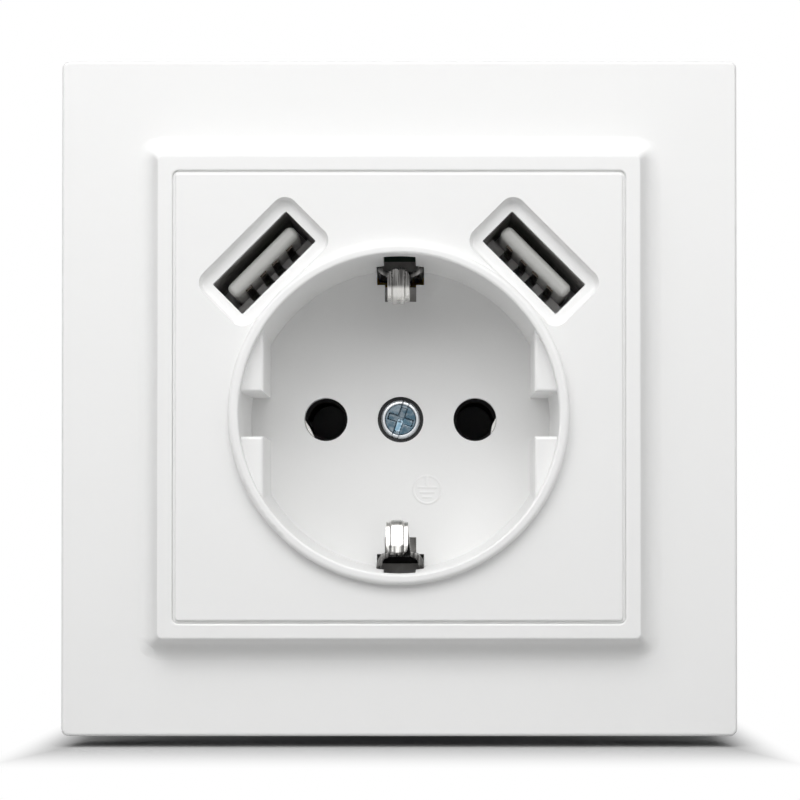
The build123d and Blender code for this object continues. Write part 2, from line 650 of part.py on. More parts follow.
def mounting_plate():
    """Steel plate on the wall, with the way for the socket and the slots for the wall-box screws."""
    reach = PORT_X + PORT_SPREAD + SHELL_GAP
    low = PORT_Z - PORT_SPREAD - SHELL_GAP
    high = PORT_Z + PORT_SPREAD + SHELL_GAP
    way = Pos(0, WELL_Z) * Circle(POT_R + POT_GAP)
    ports = Pos(0, (low + high) / 2) * Rectangle(2 * reach, high - low)
    ports -= Pos(0, high) * Rectangle(PLATE_TONGUE, 2 * (high - WELL_Z - POT_R - POT_GAP))
    sheet = square(PLATE_SIDE, PLATE_CORNER_R) - way - ports
    half_pitch = BOX_SCREW_PITCH / 2
    for side in (-1, 1):
        sheet -= Pos(side * half_pitch, 0) * SlotOverall(BOX_SLOT_LENGTH, BOX_SLOT_WIDTH)
        sheet -= Pos(0, side * half_pitch) * SlotOverall(BOX_SLOT_LENGTH, BOX_SLOT_WIDTH, rotation=90)
        sheet -= Pos(side * CLAW_X, CLAW_Z) * claw_slot()
    for place in plate_screw_places():
        sheet -= Pos(*place) * Circle(PLATE_SCREW_R + POCKET_GAP)
    return prism(sheet, (PLATE_Y, 0))


def plate_screws():
    """Screws that hold the rear housing to the mounting plate."""
    screws = []
    for place in plate_screw_places():
        head = slotted_head(place, PLATE_SCREW_HEAD_R, (PLATE_Y - PLATE_SCREW_HEAD, PLATE_Y))
        screws.append(head + rod(place, PLATE_SCREW_R, (PLATE_Y, PLATE_SCREW_LENGTH)))
    return Compound(children=screws)


def usb_shell(side):
    """Sheet-metal sleeve of a USB port, from the cover back to the board."""
    outside = RectangleRounded(SHELL_WIDTH, SHELL_HEIGHT, PORT_CORNER_R + SHELL_WALL)
    inside = RectangleRounded(PORT_WIDTH, PORT_HEIGHT, PORT_CORNER_R)
    return port(side) * prism(outside - inside, (COVER_BACK_Y, BOARD_Y))


def usb_tongue_z():
    """Low and high face of the tongue in a port, which lies nearer the cover's corner."""
    high = PORT_HEIGHT / 2 - USB_TONGUE_MARGIN
    return (high - USB_TONGUE_THICKNESS, high)


def usb_insulator(side):
    """Plastic block at the back of a port, with the tongue that carries the contacts."""
    block_y = (BOARD_Y - INSULATOR_DEPTH, BOARD_Y)
    width = PORT_WIDTH - 2 * INSULATOR_GAP
    height = PORT_HEIGHT - 2 * INSULATOR_GAP
    back = prism(RectangleRounded(width, height, PORT_CORNER_R), block_y)
    tongue_y = (COVER_BACK_Y + USB_TONGUE_SET_BACK, block_y[0])
    tongue = block(around(0, USB_TONGUE_WIDTH), tongue_y, usb_tongue_z())
    tongue = fillet(edges_at(tongue, tongue_y[0]), USB_TONGUE_EDGE_R)
    return port(side) * (back + tongue)


def usb_contacts(side):
    """Four contact strips on the face of the tongue that looks at the well."""
    face_z = usb_tongue_z()[0]
    y = (COVER_BACK_Y + USB_TONGUE_SET_BACK + USB_PIN_SET_BACK, BOARD_Y - INSULATOR_DEPTH)
    strips = []
    for x in USB_PIN_PLACES:
        strip = block(around(x, USB_PIN_WIDTH), y, (face_z - USB_PIN_THICKNESS, face_z))
        strips.append(port(side) * strip)
    return Compound(children=strips)


def charger_board():
    """Circuit board across the upper part of the housing, cut out round the upper earth blade."""
    inset = HOUSING_WALL + BOARD_EDGE_GAP
    above = Pos(0, BOARD_LOW + HOUSING_R) * Rectangle(2 * HOUSING_R, 2 * HOUSING_R)
    board = housing_outline(inset) & above
    root_height = 2 * (BLADE_THICKNESS + 2 * ROOT_GAP)
    board -= Pos(0, WELL_Z + BLADE_R) * Rectangle(BLADE_WIDTH + 2 * ROOT_GAP, root_height)
    return prism(board, (BOARD_Y, BOARD_BACK_Y))


def on_board(place, size):
    """Box that stands on the back of the board."""
    y = (BOARD_BACK_Y, BOARD_BACK_Y + size[1])
    return block(around(place[0], size[0]), y, around(place[1], size[2]))


def can(place, radius, length):
    """Round can that stands on the back of the board."""
    y = (BOARD_BACK_Y, BOARD_BACK_Y + length)
    shape = rod(place, radius, y)
    return fillet(edges_at(shape, y[1]), CAN_EDGE_R)


TRANSFORMER_Y = BOARD_BACK_Y + STAND_OFF + FLANGE_SIDE / 2
WINDOW = CORE_LENGTH - 2 * CORE_YOKE


def square_bar(x, side):
    """Square bar along X through the middle of the transformer."""
    return block(x, around(TRANSFORMER_Y, side), around(CORE_Z, side))


def transformer_core():
    """Ferrite core: a middle leg, two outer legs and the yokes that close them."""
    whole = block(around(0, CORE_LENGTH), around(TRANSFORMER_Y, CORE_LEG), around(CORE_Z, CORE_HEIGHT))
    window_z = CORE_HEIGHT - 2 * CORE_OUTER_LEG
    window = block(around(0, WINDOW), around(TRANSFORMER_Y, 2 * CORE_LEG), around(CORE_Z, window_z))
    return whole - window + square_bar(around(0, CORE_LENGTH), CORE_LEG)


def transformer_bobbin():
    """Coil former with two flanges and four pins to the board."""
    hole = CORE_LEG + 2 * BOBBIN_GAP
    half = WINDOW / 2 - BOBBIN_GAP
    former = square_bar((-half, half), hole + 2 * BOBBIN_WALL)
    for side in (-1, 1):
        flange_x = sorted((side * half, side * (half - FLANGE_THICKNESS)))
        former += square_bar(flange_x, FLANGE_SIDE)
        for end in (-1, 1):
            pin_z = CORE_Z + end * (FLANGE_SIDE / 2 - BOBBIN_PIN_R)
            pin_x = side * (half - FLANGE_THICKNESS / 2)
            former += rod((pin_x, pin_z), BOBBIN_PIN_R, (BOARD_BACK_Y, TRANSFORMER_Y))
    return former - square_bar(around(0, CORE_LENGTH), hole)


def transformer_winding():
    """Taped winding between the flanges of the former."""
    half = WINDOW / 2 - BOBBIN_GAP - FLANGE_THICKNESS
    inside = CORE_LEG + 2 * BOBBIN_GAP + 2 * BOBBIN_WALL
    return square_bar((-half, half), WINDING_SIDE) - square_bar((-half, half), inside)


def output_capacitors():
    """Small cans of the low-voltage side."""
    places = [polar(OUTPUT_CAN_DISTANCE, angle) for angle in OUTPUT_CAN_ANGLES]
    return Compound(children=[can(place, OUTPUT_CAN_R, OUTPUT_CAN_LENGTH) for place in places])


def charger_lead(side):
    """Short wire from the board to the tab of a pin contact."""
    tab_y = STRAP_BACK_Y + TAIL_DEPTH - TAIL_THICKNESS / 2
    return rod((side * PIN_PITCH / 2, LEAD_Z), LEAD_R, (BOARD_BACK_Y, tab_y))


def claw_screw(side):
    """Screw that draws a spreader claw; its head lies in front of the mounting plate."""
    place = (side * CLAW_X, CLAW_Z)
    seat_y = PLATE_Y - CLAW_HEAD_GAP
    head = slotted_head(place, CLAW_HEAD_R, (seat_y - CLAW_HEAD, seat_y))
    return head + rod(place, CLAW_SCREW_R, (seat_y, CLAW_PLACE + CLAW_SHEET + CLAW_SCREW_TAIL))


def claw(side):
    """Folded claw on its screw: threaded tab, arm along the housing and a row of teeth."""
    z = around(CLAW_Z, CLAW_WIDTH)
    arm_y = (CLAW_PLACE - CLAW_ARM, CLAW_PLACE + CLAW_SHEET)
    fold = FilletPolyline(
        (HOUSING_FLAT + CLAW_INNER_GAP, CLAW_PLACE + CLAW_SHEET / 2),
        (CLAW_REACH - CLAW_SHEET / 2, CLAW_PLACE + CLAW_SHEET / 2),
        (CLAW_REACH - CLAW_SHEET / 2, arm_y[0]),
        radius=CLAW_BEND_R + CLAW_SHEET / 2,
    )
    shape = Pos(0, 0, z[0]) * extrude(trace(fold, CLAW_SHEET), CLAW_WIDTH)
    for step in range(TOOTH_COUNT):
        tooth_y = arm_y[0] + step * TOOTH_PITCH
        tooth = make_face(Polyline(
            (CLAW_REACH, tooth_y),
            (CLAW_REACH + TOOTH_HEIGHT, tooth_y),
            (CLAW_REACH, tooth_y + TOOTH_PITCH),
            close=True,
        ))
        shape += Pos(0, 0, z[0]) * extrude(tooth, CLAW_WIDTH)
    shape -= rod((CLAW_X, CLAW_Z), CLAW_SCREW_R + CLAW_FIT, (0, BASE_BACK_Y))
    return shape if side > 0 else mirror(shape, about=Plane.YZ)


def all_nodes():
    """Every piece of the socket by its name."""
    nodes = {
        "outer_frame": outer_frame(),
        "socket_cover": socket_cover(),
        "cover_screw": cover_screw(),
        "upper_earth_contact": earth_contact(1),
        "lower_earth_contact": earth_contact(-1),
        "earth_strap": earth_strap(),
        "contact_base": contact_base(),
        "rear_housing": rear_housing(),
        "charger_cap": charger_cap(),
        "mounting_plate": mounting_plate(),
        "plate_screws": plate_screws(),
        "charger_board": charger_board(),
        "transformer_core": transformer_core(),
        "transformer_bobbin": transformer_bobbin(),
        "transformer_winding": transformer_winding(),
        "input_capacitor": can(INPUT_CAN_PLACE, INPUT_CAN_R, INPUT_CAN_LENGTH),
        "output_capacitors": output_capacitors(),
        "rectifier": on_board(polar(RECTIFIER_R, RECTIFIER_ANGLE), RECTIFIER_SIZE),
        "charger_chip": on_board(CHIP_PLACE, CHIP_SIZE),
        "fuse": can(FUSE_PLACE, FUSE_R, FUSE_LENGTH),
    }
    for name, side in (("left", -1), ("right", 1)):
        nodes[f"{name}_usb_shell"] = usb_shell(side)
        nodes[f"{name}_usb_insulator"] = usb_insulator(side)
        nodes[f"{name}_usb_contacts"] = usb_contacts(side)
        nodes[f"{name}_claw"] = claw(side)
        nodes[f"{name}_claw_screw"] = claw_screw(side)
    for name, side in (("live", -1), ("neutral", 1)):
        nodes[f"{name}_contact"] = pin_contact(side)
        nodes[f"{name}_lead"] = charger_lead(side)
    for name, x in zip(("live", "earth", "neutral"), TERMINAL_PLACES):
        nodes[f"{name}_terminal"] = terminal(x)
        nodes[f"{name}_terminal_screw"] = terminal_screw(x)
    return nodes


os.makedirs("parts", exist_ok=True)
for node, shape in all_nodes().items():
    export_step(shape, f"parts/{node}.step")
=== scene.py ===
"""Finish and fine detail of a flush wall socket with two USB ports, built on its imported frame."""

from collections import namedtuple
from functools import cache
from math import acos, ceil, cos, hypot, pi, radians, sin, sqrt, tan

import bmesh
import bpy
from mathutils import Matrix, Vector


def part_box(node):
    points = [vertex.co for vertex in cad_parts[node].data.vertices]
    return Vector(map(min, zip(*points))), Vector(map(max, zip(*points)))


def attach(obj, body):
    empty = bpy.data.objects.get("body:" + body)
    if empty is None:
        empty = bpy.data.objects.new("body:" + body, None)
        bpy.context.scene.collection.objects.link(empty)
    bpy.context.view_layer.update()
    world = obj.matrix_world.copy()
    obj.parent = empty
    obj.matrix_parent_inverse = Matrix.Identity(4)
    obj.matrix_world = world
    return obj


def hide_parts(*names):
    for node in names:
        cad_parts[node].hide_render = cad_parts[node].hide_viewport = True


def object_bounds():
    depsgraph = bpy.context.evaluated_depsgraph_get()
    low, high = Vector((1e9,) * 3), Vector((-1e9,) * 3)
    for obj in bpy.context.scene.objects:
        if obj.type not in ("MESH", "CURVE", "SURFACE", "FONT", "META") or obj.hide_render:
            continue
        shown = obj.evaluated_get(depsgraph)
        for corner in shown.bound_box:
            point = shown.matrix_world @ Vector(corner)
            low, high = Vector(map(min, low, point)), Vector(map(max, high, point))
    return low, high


bl_info = {
    "name": "Wall Socket With USB Ports",
    "version": (1, 0, 0),
    "blender": (4, 5, 0),
    "location": "View3D > Sidebar > Socket",
    "description": "Dresses the frame of a flush wall socket and sets its stage",
    "category": "Object",
}

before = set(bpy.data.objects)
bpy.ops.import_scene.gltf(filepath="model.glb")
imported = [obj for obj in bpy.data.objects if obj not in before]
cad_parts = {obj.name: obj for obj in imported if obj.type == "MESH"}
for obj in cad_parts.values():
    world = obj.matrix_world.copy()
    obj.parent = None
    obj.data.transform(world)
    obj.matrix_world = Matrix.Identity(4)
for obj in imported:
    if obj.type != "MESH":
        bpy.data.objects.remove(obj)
CAD_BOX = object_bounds()
MM = 0.001

# Places that follow from the frame, in metres
COVER_LOW, COVER_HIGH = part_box("socket_cover")
FRAME_LOW, FRAME_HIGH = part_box("outer_frame")
SCREW_LOW, SCREW_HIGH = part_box("cover_screw")
BLADE_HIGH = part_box("upper_earth_contact")[1]
CAP_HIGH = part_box("charger_cap")[1]
PLATE_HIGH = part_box("mounting_plate")[1]
RIM_Y = COVER_LOW.y
POT_BACK_Y = COVER_HIGH.y
WELL = (SCREW_LOW + SCREW_HIGH) / 2
PIN_PITCH = 19.0 * MM
PIN_SIDE = {"live": -PIN_PITCH / 2, "neutral": PIN_PITCH / 2}


def number(name, description, default, **kind):
    """Property for one number."""
    return bpy.props.FloatProperty(name=name, description=description, default=default, **kind)


def length(name, description, default):
    """Property for a size that is given here in millimetres and kept in metres."""
    return number(name, description, default * MM, unit="LENGTH", subtype="DISTANCE", precision=5)


def rotation(name, description, default):
    """Property for an angle that is given here in degrees and kept in radians."""
    return number(name, description, radians(default), unit="ROTATION", subtype="ANGLE")


def power(name, description, default):
    """Property for the power of a light in watts."""
    return number(name, description, default, unit="POWER")


def amount(name, description, default):
    """Property for a number of like things in a row."""
    return bpy.props.IntProperty(name=name, description=description, default=default, min=2)


def colour(name, description, default):
    """Property for a linear colour."""
    return bpy.props.FloatVectorProperty(
        name=name, description=description, default=default, size=3, min=0, max=1, subtype="COLOR"
    )


def place(name, description, default):
    """Property for a point, given here in millimetres and kept in metres."""
    spot = [value * MM for value in default]
    return bpy.props.FloatVectorProperty(
        name=name, description=description, default=spot, size=3, unit="LENGTH", subtype="XYZ"
    )


class SocketBladeSizes(bpy.types.PropertyGroup):
    """Sizes of the sprung earth blades, with depths measured from the well's rim"""

    sheet: length("Sheet", "Thickness of the blade", 0.65)
    tongue_width: length("Tongue width", "Width of the sprung tongue", 2.7)
    shoulder_depth: length("Shoulder depth", "Where the tongue leaves the root plate", 13.0)
    nose_depth: length("Nose depth", "Where the tongue comes nearest to the plug", 7.4)
    upper_reach: length("Upper reach", "How far the upper nose's corner stands inside the root plate", 4.35)
    lower_reach: length("Lower reach", "How far the lower nose's corner stands inside the root plate", 4.5)
    raised: length("Raised", "How far both blades sit above their middle place", 0.5)
    upper_left: length("Upper left", "How far the upper tongue sits left of the middle", 0.12)
    lower_left: length("Lower left", "How far the lower tongue sits left of the middle", 0.3)
    tip_depth: length("Tip depth", "Front end of the tongue", 5.3)
    tip_reach: length("Tip reach", "How far the tip stands inside the root plate", 0.0)
    nose_bend: length("Nose bend", "Radius of the bend at the nose", 1.3)
    shoulder_bend: length("Shoulder bend", "Radius of the bend at the shoulder", 1.2)
    tip_corner: length("Tip corner", "Corner radius of the tip", 1.25)
    bead_width: length("Bead width", "Width of the pressed bead", 1.3)
    bead_rise: length("Bead rise", "Height of the pressed bead", 0.24)
    bead_slope: length("Bead slope", "Width of each flank of the bead", 0.14)
    wing_drop: length("Wing drop", "How far the sides of the root plate arch back to the wall", 1.9)
    wing_flat: length("Wing flat", "Distance from the back of the well to where the arch begins", 0.6)
    edge: length("Edge", "Rounding of the sheet's edges", 0.07)


class SocketScrewSizes(bpy.types.PropertyGroup):
    """Sizes of the screws"""

    cover_head: length("Cover screw head", "Height of the cover screw's head", 1.1)
    cover_head_r: length("Cover screw radius", "Radius of the cover screw's head", 2.5)
    cover_shank_r: length("Cover screw shank", "Radius of the cover screw's thread", 1.5)
    cover_turn: rotation("Cover screw turn", "How far the cover screw's slot is turned", 72.0)
    claw_head: length("Claw screw head", "Height of a claw screw's head", 1.8)
    claw_shank_r: length("Claw screw shank", "Radius of a claw screw's thread", 1.6)
    clamp_head: length("Clamp screw head", "Height of a terminal screw's head", 2.0)
    clamp_shank_r: length("Clamp screw shank", "Radius of a terminal screw's thread", 1.5)
    head_edge: length("Head edge", "Rounding of a head's edge", 0.4)
    slot_width: length("Slot width", "Width of the slot and of the cross's arms", 0.8)
    slot_depth: length("Slot depth", "Depth of the slot", 0.45)
    cross_reach: length("Cross reach", "Length of an arm of the cross", 1.6)
    cross_depth: length("Cross depth", "Depth of the cross in its middle", 0.95)
    dish_r: length("Dish radius", "Radius of the dished face", 1.95)
    dish_depth: length("Dish depth", "Depth of the dished face", 0.22)
    recess_wall: length("Recess wall", "Width of a recess's slanted wall", 0.16)
    thread_depth: length("Thread depth", "Height of a thread", 0.25)
    thread_pitch: length("Thread pitch", "Distance between turns of a thread", 0.7)


class SocketPortSizes(bpy.types.PropertyGroup):
    """Sizes of the plastic tongues in the ports"""

    turn: rotation("Turn", "How far each port is turned outwards", 45.0)
    tongue_width: length("Tongue width", "Width of a tongue", 11.1)
    tongue_thickness: length("Tongue thickness", "Thickness of a tongue", 1.84)
    tongue_offset: length("Tongue offset", "How far a tongue lies from the port's middle", 0.38)
    set_back: length("Set back", "How far a tongue lies behind the front of its sleeve", 0.5)
    corner: length("Corner", "Corner radius of a tongue's section", 0.75)
    edge: length("Edge", "Rounding of a tongue's front edge", 0.72)
    wall_depth: length("Wall depth", "Depth of the wall at the back of a port", 1.0)
    comb_depth: length("Comb depth", "Depth of the slotted block under a tongue, with the wall", 6.9)
    comb_width: length("Comb width", "Width of the wall and of the slotted block", 12.5)
    comb_height: length("Comb height", "Height of the wall", 5.0)
    slot_width: length("Slot width", "Width of the block's slots for the contacts", 1.2)
    inner_pitch: length("Inner pitch", "Distance of the inner contacts from the port's middle", 1.0)
    outer_pitch: length("Outer pitch", "Distance of the outer contacts from the port's middle", 3.5)


class SocketWellSizes(bpy.types.PropertyGroup):
    """Sizes of the details on and behind the floor of the well"""

    floor_wall: length("Floor wall", "Thickness of the well's floor", 2.0)
    mark_right: length("Mark right", "Place of the earth mark, right of the well's middle", 3.4)
    mark_low: length("Mark low", "Place of the earth mark, below the well's middle", 8.95)
    mark_r: length("Mark radius", "Radius of the earth mark's ring", 1.75)
    mark_line: length("Mark line", "Width of the earth mark's lines", 0.32)
    mark_rise: length("Mark rise", "Height of the earth mark's lines", 0.055)
    mark_pitch: length("Mark pitch", "Distance between the earth mark's bars", 0.63)
    mark_long: length("Mark long bar", "Length of the longest bar", 2.5)
    mark_short: length("Mark short bar", "Length of the shortest bar", 1.3)
    cover_gap: length("Cover gap", "Gap between the cover and the frame", 0.3)
    groove: length("Groove", "Depth of the groove round the cover", 0.3)
    lip_back: length("Lip back", "How far the cover's edge lip reaches back from the groove", 1.2)
    cover_corner: length("Cover corner", "Corner radius of the cover", 0.45)
    screw_hole_r: length("Screw hole radius", "Radius of the hole round the cover screw", 2.92)
    shade_ring_depth: length("Ring depth", "How far the ring round the cover screw lies below its face", 0.65)
    hole_r: length("Pin hole radius", "Radius of a pin hole", 2.75)
    pin_r: length("Pin passage radius", "Radius of the way for a pin", 2.45)
    collar_wall: length("Collar wall", "Wall of the collar behind a pin hole", 0.8)
    funnel: length("Funnel", "Depth of the collar's funnel", 0.7)
    lip_width: length("Lip width", "Greatest width of a contact's lip", 0.42)
    lip_depth: length("Lip depth", "How far a lip reaches into its pin hole", 0.7)


class SocketRearSizes(bpy.types.PropertyGroup):
    """Sizes of the ribs at the back"""

    rib_edge: length("Rib edge", "Rounding of a rib's edges", 0.15)
    rib_sink: length("Rib sink", "How deep a rib's root stands in the wall below it", 0.1)
    cap_rib: length("Cap rib", "Width of a cooling rib", 1.1)
    cap_rise: length("Cap rise", "Height of a cooling rib over the cap's round side", 0.55)
    cap_front: length("Cap front", "Distance of the cooling ribs behind the wall plane", 4.0)
    cap_back_gap: length("Cap back gap", "Distance of the cooling ribs from the cap's back", 3.0)
    cap_count: amount("Cap count", "Number of cooling ribs", 21)
    cap_reach: rotation("Cap reach", "Angle from the top to the last cooling rib", 62.0)
    frame_rib: length("Frame rib", "Width of a rib in the frame's back", 1.0)
    frame_wall: length("Frame wall", "Thickness of the frame's outer wall", 1.8)
    frame_floor: length("Frame floor", "Place of the hollow's floor along Y", -3.9)
    frame_top: length("Frame top", "Place of the ribs' backs along Y", -1.4)
    frame_pitch: length("Frame pitch", "Distance between two ribs in the frame's back", 10.0)
    frame_count: amount("Frame count", "Number of ribs on each side of the frame", 7)
    plate_gap: length("Plate gap", "Distance of these ribs from the mounting plate", 0.4)


class SocketColours(bpy.types.PropertyGroup):
    """Base colours of the finishes"""

    white_plastic: colour("White plastic", "Frame and cover", (0.88, 0.88, 0.875))
    grey_plastic: colour("Grey plastic", "Rear housing and charger cap", (0.36, 0.37, 0.38))
    # Also used for the ring round the cover screw, which is painted shade.
    dark_plastic: colour("Dark plastic", "Contact base, and the rings in the holes", (0.012, 0.012, 0.013))
    port_plastic: colour("Port plastic", "Tongues in the ports, and the fuse", (0.46, 0.46, 0.445))
    zinc: colour("Zinc", "Screws, claws and mounting plate", (0.60, 0.62, 0.64))
    nickel: colour("Nickel", "Earth blades, and the lips of the pin contacts", (0.66, 0.65, 0.63))
    brass: colour("Brass", "Terminals", (0.72, 0.52, 0.22))
    steel: colour("Steel", "Port sleeves", (0.66, 0.65, 0.64))
    # Port contacts painted almost black: painted shade inside the ports.
    gold: colour("Gold", "Port contacts, dulled by use", (0.06, 0.05, 0.04))
    # Dark blue of the cover screw's dish: the zinc's blue passivation, darkened further as painted reflection
    # of dark surroundings.
    blue_zinc: colour("Blue zinc", "Dished face of the cover screw", (0.07, 0.125, 0.165))
    # Pin contacts painted almost black: painted shade for the deep pin holes, not the brass's own colour.
    brass_painted_shade: colour("Dull brass", "Pin contacts", (0.045, 0.04, 0.035))
    dull_nickel: colour("Dull nickel", "Earth strap", (0.36, 0.35, 0.34))
    board_green: colour("Board green", "Charger board", (0.012, 0.10, 0.04))
    ferrite: colour("Ferrite", "Transformer core", (0.03, 0.03, 0.032))
    coil_tape: colour("Coil tape", "Transformer winding", (0.75, 0.50, 0.06))
    can_sleeve: colour("Can sleeve", "Capacitors", (0.010, 0.012, 0.03))
    chip_black: colour("Chip black", "Charger chip, rectifier and bobbin", (0.012, 0.012, 0.012))
    lead_brown: colour("Lead brown", "Live lead", (0.09, 0.03, 0.012))
    lead_blue: colour("Lead blue", "Neutral lead", (0.01, 0.05, 0.28))


class SocketStage(bpy.types.PropertyGroup):
    """Camera and light"""

    eye: place("Eye", "Where the camera stands", (4.3, -355.0, -16.7))
    lens: number("Lens", "Focal length of the camera", 128.0, unit="CAMERA")
    rise: rotation("Rise", "How far the camera looks up", 0.77)
    shift: bpy.props.FloatVectorProperty(
        name="Shift", description="Lens shift to the right and up", default=(-0.0428, 0.1198), size=2
    )
    key_power: power("Key power", "Power of the soft light in front and above", 1.19)
    key_spot: place("Key place", "Where the soft light in front and above hangs", (-40.0, -315.0, 245.0))
    top_power: power("Top power", "Power of the soft light overhead", 0.62)
    top_spot: place("Top place", "Where the soft light overhead hangs", (-40.0, -188.0, 353.0))
    soft_width: length("Soft width", "Width of the two soft lights", 500.0)
    soft_height: length("Soft height", "Height of the two soft lights", 280.0)
    left_power: power("Left power", "Power of the soft light at the left", 0.45)
    right_power: power("Right power", "Power of the soft light at the right", 0.59)
    side_spot: place("Side place", "Where the right soft light stands", (450.0, -300.0, 200.0))
    side_width: length("Side width", "Width of the lights at the side", 300.0)
    side_height: length("Side height", "Height of the lights at the side", 400.0)
    floor: colour("Floor", "Colour that the floor throws back", (0.49, 0.49, 0.49))
    # Near the socket the floor is seen this grey and fades to white further out: a painted shadow round the
    # socket, over its real shadow.
    painted_shadow_grey: number("Floor white", "Brightness of the floor as it is seen", 0.45)
    floor_size: length("Floor size", "Side of the floor", 1600.0)
    floor_gap: length("Floor gap", "Distance of the floor below the frame", 1.4)
    side_fade: number("Side fade", "How much faster the floor fades to the sides", 5.0)
    fade_start: length("Fade start", "Distance outside the socket where the floor starts to fade", -12.0)
    fade_end: length("Fade end", "Distance outside the socket where the floor is plain white", 30.0)


# Shader helpers

def add_node(tree, kind, inputs, **settings):
    """New node with its settings, and its inputs linked to sockets or set to values."""
    node = tree.nodes.new(kind)
    for name, value in settings.items():
        setattr(node, name, value)
    for label, value in inputs.items():
        if isinstance(value, bpy.types.NodeSocket):
            tree.links.new(value, node.inputs[label])
        else:
            node.inputs[label].default_value = value
    return node


def new_tree(name, kind, inputs, outputs):
    """Empty tree with (label, socket kind, default) inputs and (label, socket kind) outputs."""
    tree = bpy.data.node_groups.new(name, kind)
    for label, socket_kind, default in inputs:
        socket = tree.interface.new_socket(label, in_out="INPUT", socket_type=socket_kind)
        if default is not None:
            socket.default_value = default
    for label, socket_kind in outputs:
        tree.interface.new_socket(label, in_out="OUTPUT", socket_type=socket_kind)
    return tree, tree.nodes.new("NodeGroupInput").outputs, tree.nodes.new("NodeGroupOutput").inputs


def effect_tree(name, inputs, masks):
    """Empty shader group that reads a vector and other inputs, and puts out masks."""
    vector = ("Vector", "NodeSocketVector", (0, 0, 0))
    outputs = [(mask, "NodeSocketFloat") for mask in masks]
    return new_tree(name, "ShaderNodeTree", [vector, *inputs], outputs)


def noise(tree, vector, scale, detail):
    """Noise texture that reads a vector at a scale."""
    inputs = {"Vector": vector, "Scale": scale, "Detail": detail}
    return add_node(tree, "ShaderNodeTexNoise", inputs).outputs["Fac"]


def calculation(tree, operation, first, second):
    """Math node on sockets or numbers."""
    node = add_node(tree, "ShaderNodeMath", {0: first, 1: second}, operation=operation)
    return node.outputs["Value"]


def ranged(tree, value, low, high):
    """Value between 0 and 1, laid over another range."""
    inputs = {"Value": value, "To Min": low, "To Max": high}
    return add_node(tree, "ShaderNodeMapRange", inputs).outputs["Result"]


def stepped(tree, value, low, high):
    """0 below a low value, 1 above a high one and smooth in between."""
    inputs = {"Value": value, "From Min": low, "From Max": high}
    node = add_node(tree, "ShaderNodeMapRange", inputs, interpolation_type="SMOOTHSTEP")
    return node.outputs["Result"]


def blended(tree, factor, first, second):
    """Colour that goes from the first to the second with a factor."""
    inputs = {"A": (*first, 1), "B": (*second, 1), "Factor": factor}
    return add_node(tree, "ShaderNodeMix", inputs, data_type="RGBA").outputs["Result"]


def mixed(tree, factor, first, second):
    """Shader that goes from the first to the second with a factor."""
    return add_node(tree, "ShaderNodeMixShader", {0: factor, 1: first, 2: second}).outputs["Shader"]


def shaded(rgb, share):
    """Colour at a share of its strength."""
    return tuple(channel * share for channel in rgb)


@cache
def moulded_skin():
    """Shared effect of moulded plastic: fine grain and broad, faint clouding."""
    inputs = [
        ("Grain Scale", "NodeSocketFloat", 5000.0),
        ("Cloud Scale", "NodeSocketFloat", 60.0),
    ]
    tree, given, out = effect_tree("Moulded Skin", inputs, ["Grain", "Cloud"])
    tree.links.new(noise(tree, given["Vector"], given["Grain Scale"], 2.0), out["Grain"])
    tree.links.new(noise(tree, given["Vector"], given["Cloud Scale"], 3.0), out["Cloud"])
    return tree


@cache
def worked_metal():
    """Shared effect of rolled or plated metal: streaks along one direction and broad patches."""
    inputs = [
        ("Stretch", "NodeSocketVector", (1, 1, 1)),
        ("Streak Scale", "NodeSocketFloat", 3000.0),
        ("Patch Scale", "NodeSocketFloat", 400.0),
    ]
    tree, given, out = effect_tree("Worked Metal", inputs, ["Streaks", "Patches"])
    sides = {0: given["Vector"], 1: given["Stretch"]}
    drawn = add_node(tree, "ShaderNodeVectorMath", sides, operation="MULTIPLY").outputs["Vector"]
    tree.links.new(noise(tree, drawn, given["Streak Scale"], 3.0), out["Streaks"])
    tree.links.new(noise(tree, given["Vector"], given["Patch Scale"], 4.0), out["Patches"])
    return tree


def new_finish(name, group, values):
    """Material with a shared effect on Object coordinates, its tree, its shader and the effect's masks."""
    material = bpy.data.materials.new(name)
    material.use_nodes = True
    tree = material.node_tree
    where = tree.nodes.new("ShaderNodeTexCoord").outputs["Object"]
    effect = add_node(tree, "ShaderNodeGroup", {"Vector": where, **values}, node_tree=group)
    return material, tree, tree.nodes["Principled BSDF"], effect.outputs


RELIEF_DEPTH = 0.02 * MM


def dress(tree, shader, tint, gloss, height, relief):
    """Colour, roughness and fine relief of a shader."""
    inputs = {"Height": height, "Distance": RELIEF_DEPTH, "Strength": relief}
    normal = add_node(tree, "ShaderNodeBump", inputs).outputs["Normal"]
    for label, value in (("Base Color", tint), ("Roughness", gloss), ("Normal", normal)):
        tree.links.new(value, shader.inputs[label])


PLASTIC_IOR = 1.48
PLASTIC_CLOUDS = 55.0
PLASTIC_GLOSS = 0.04


def plastic(name, rgb, roughness, shade=0.96, grain=5000.0, relief=0.06):
    """Moulded plastic with a faint grain, clouded in colour and gloss."""
    values = {"Grain Scale": grain, "Cloud Scale": PLASTIC_CLOUDS}
    material, tree, shader, skin = new_finish(name, moulded_skin(), values)
    shader.inputs["IOR"].default_value = PLASTIC_IOR
    tint = blended(tree, skin["Cloud"], rgb, shaded(rgb, shade))
    gloss = ranged(tree, skin["Cloud"], roughness - PLASTIC_GLOSS, roughness + PLASTIC_GLOSS)
    dress(tree, shader, tint, gloss, skin["Grain"], relief)
    return material


DARK_RANGE = (0.35, 0.65)
DARK_LEAST = 0.7
METAL_GLOSS = (0.7, 1.4)


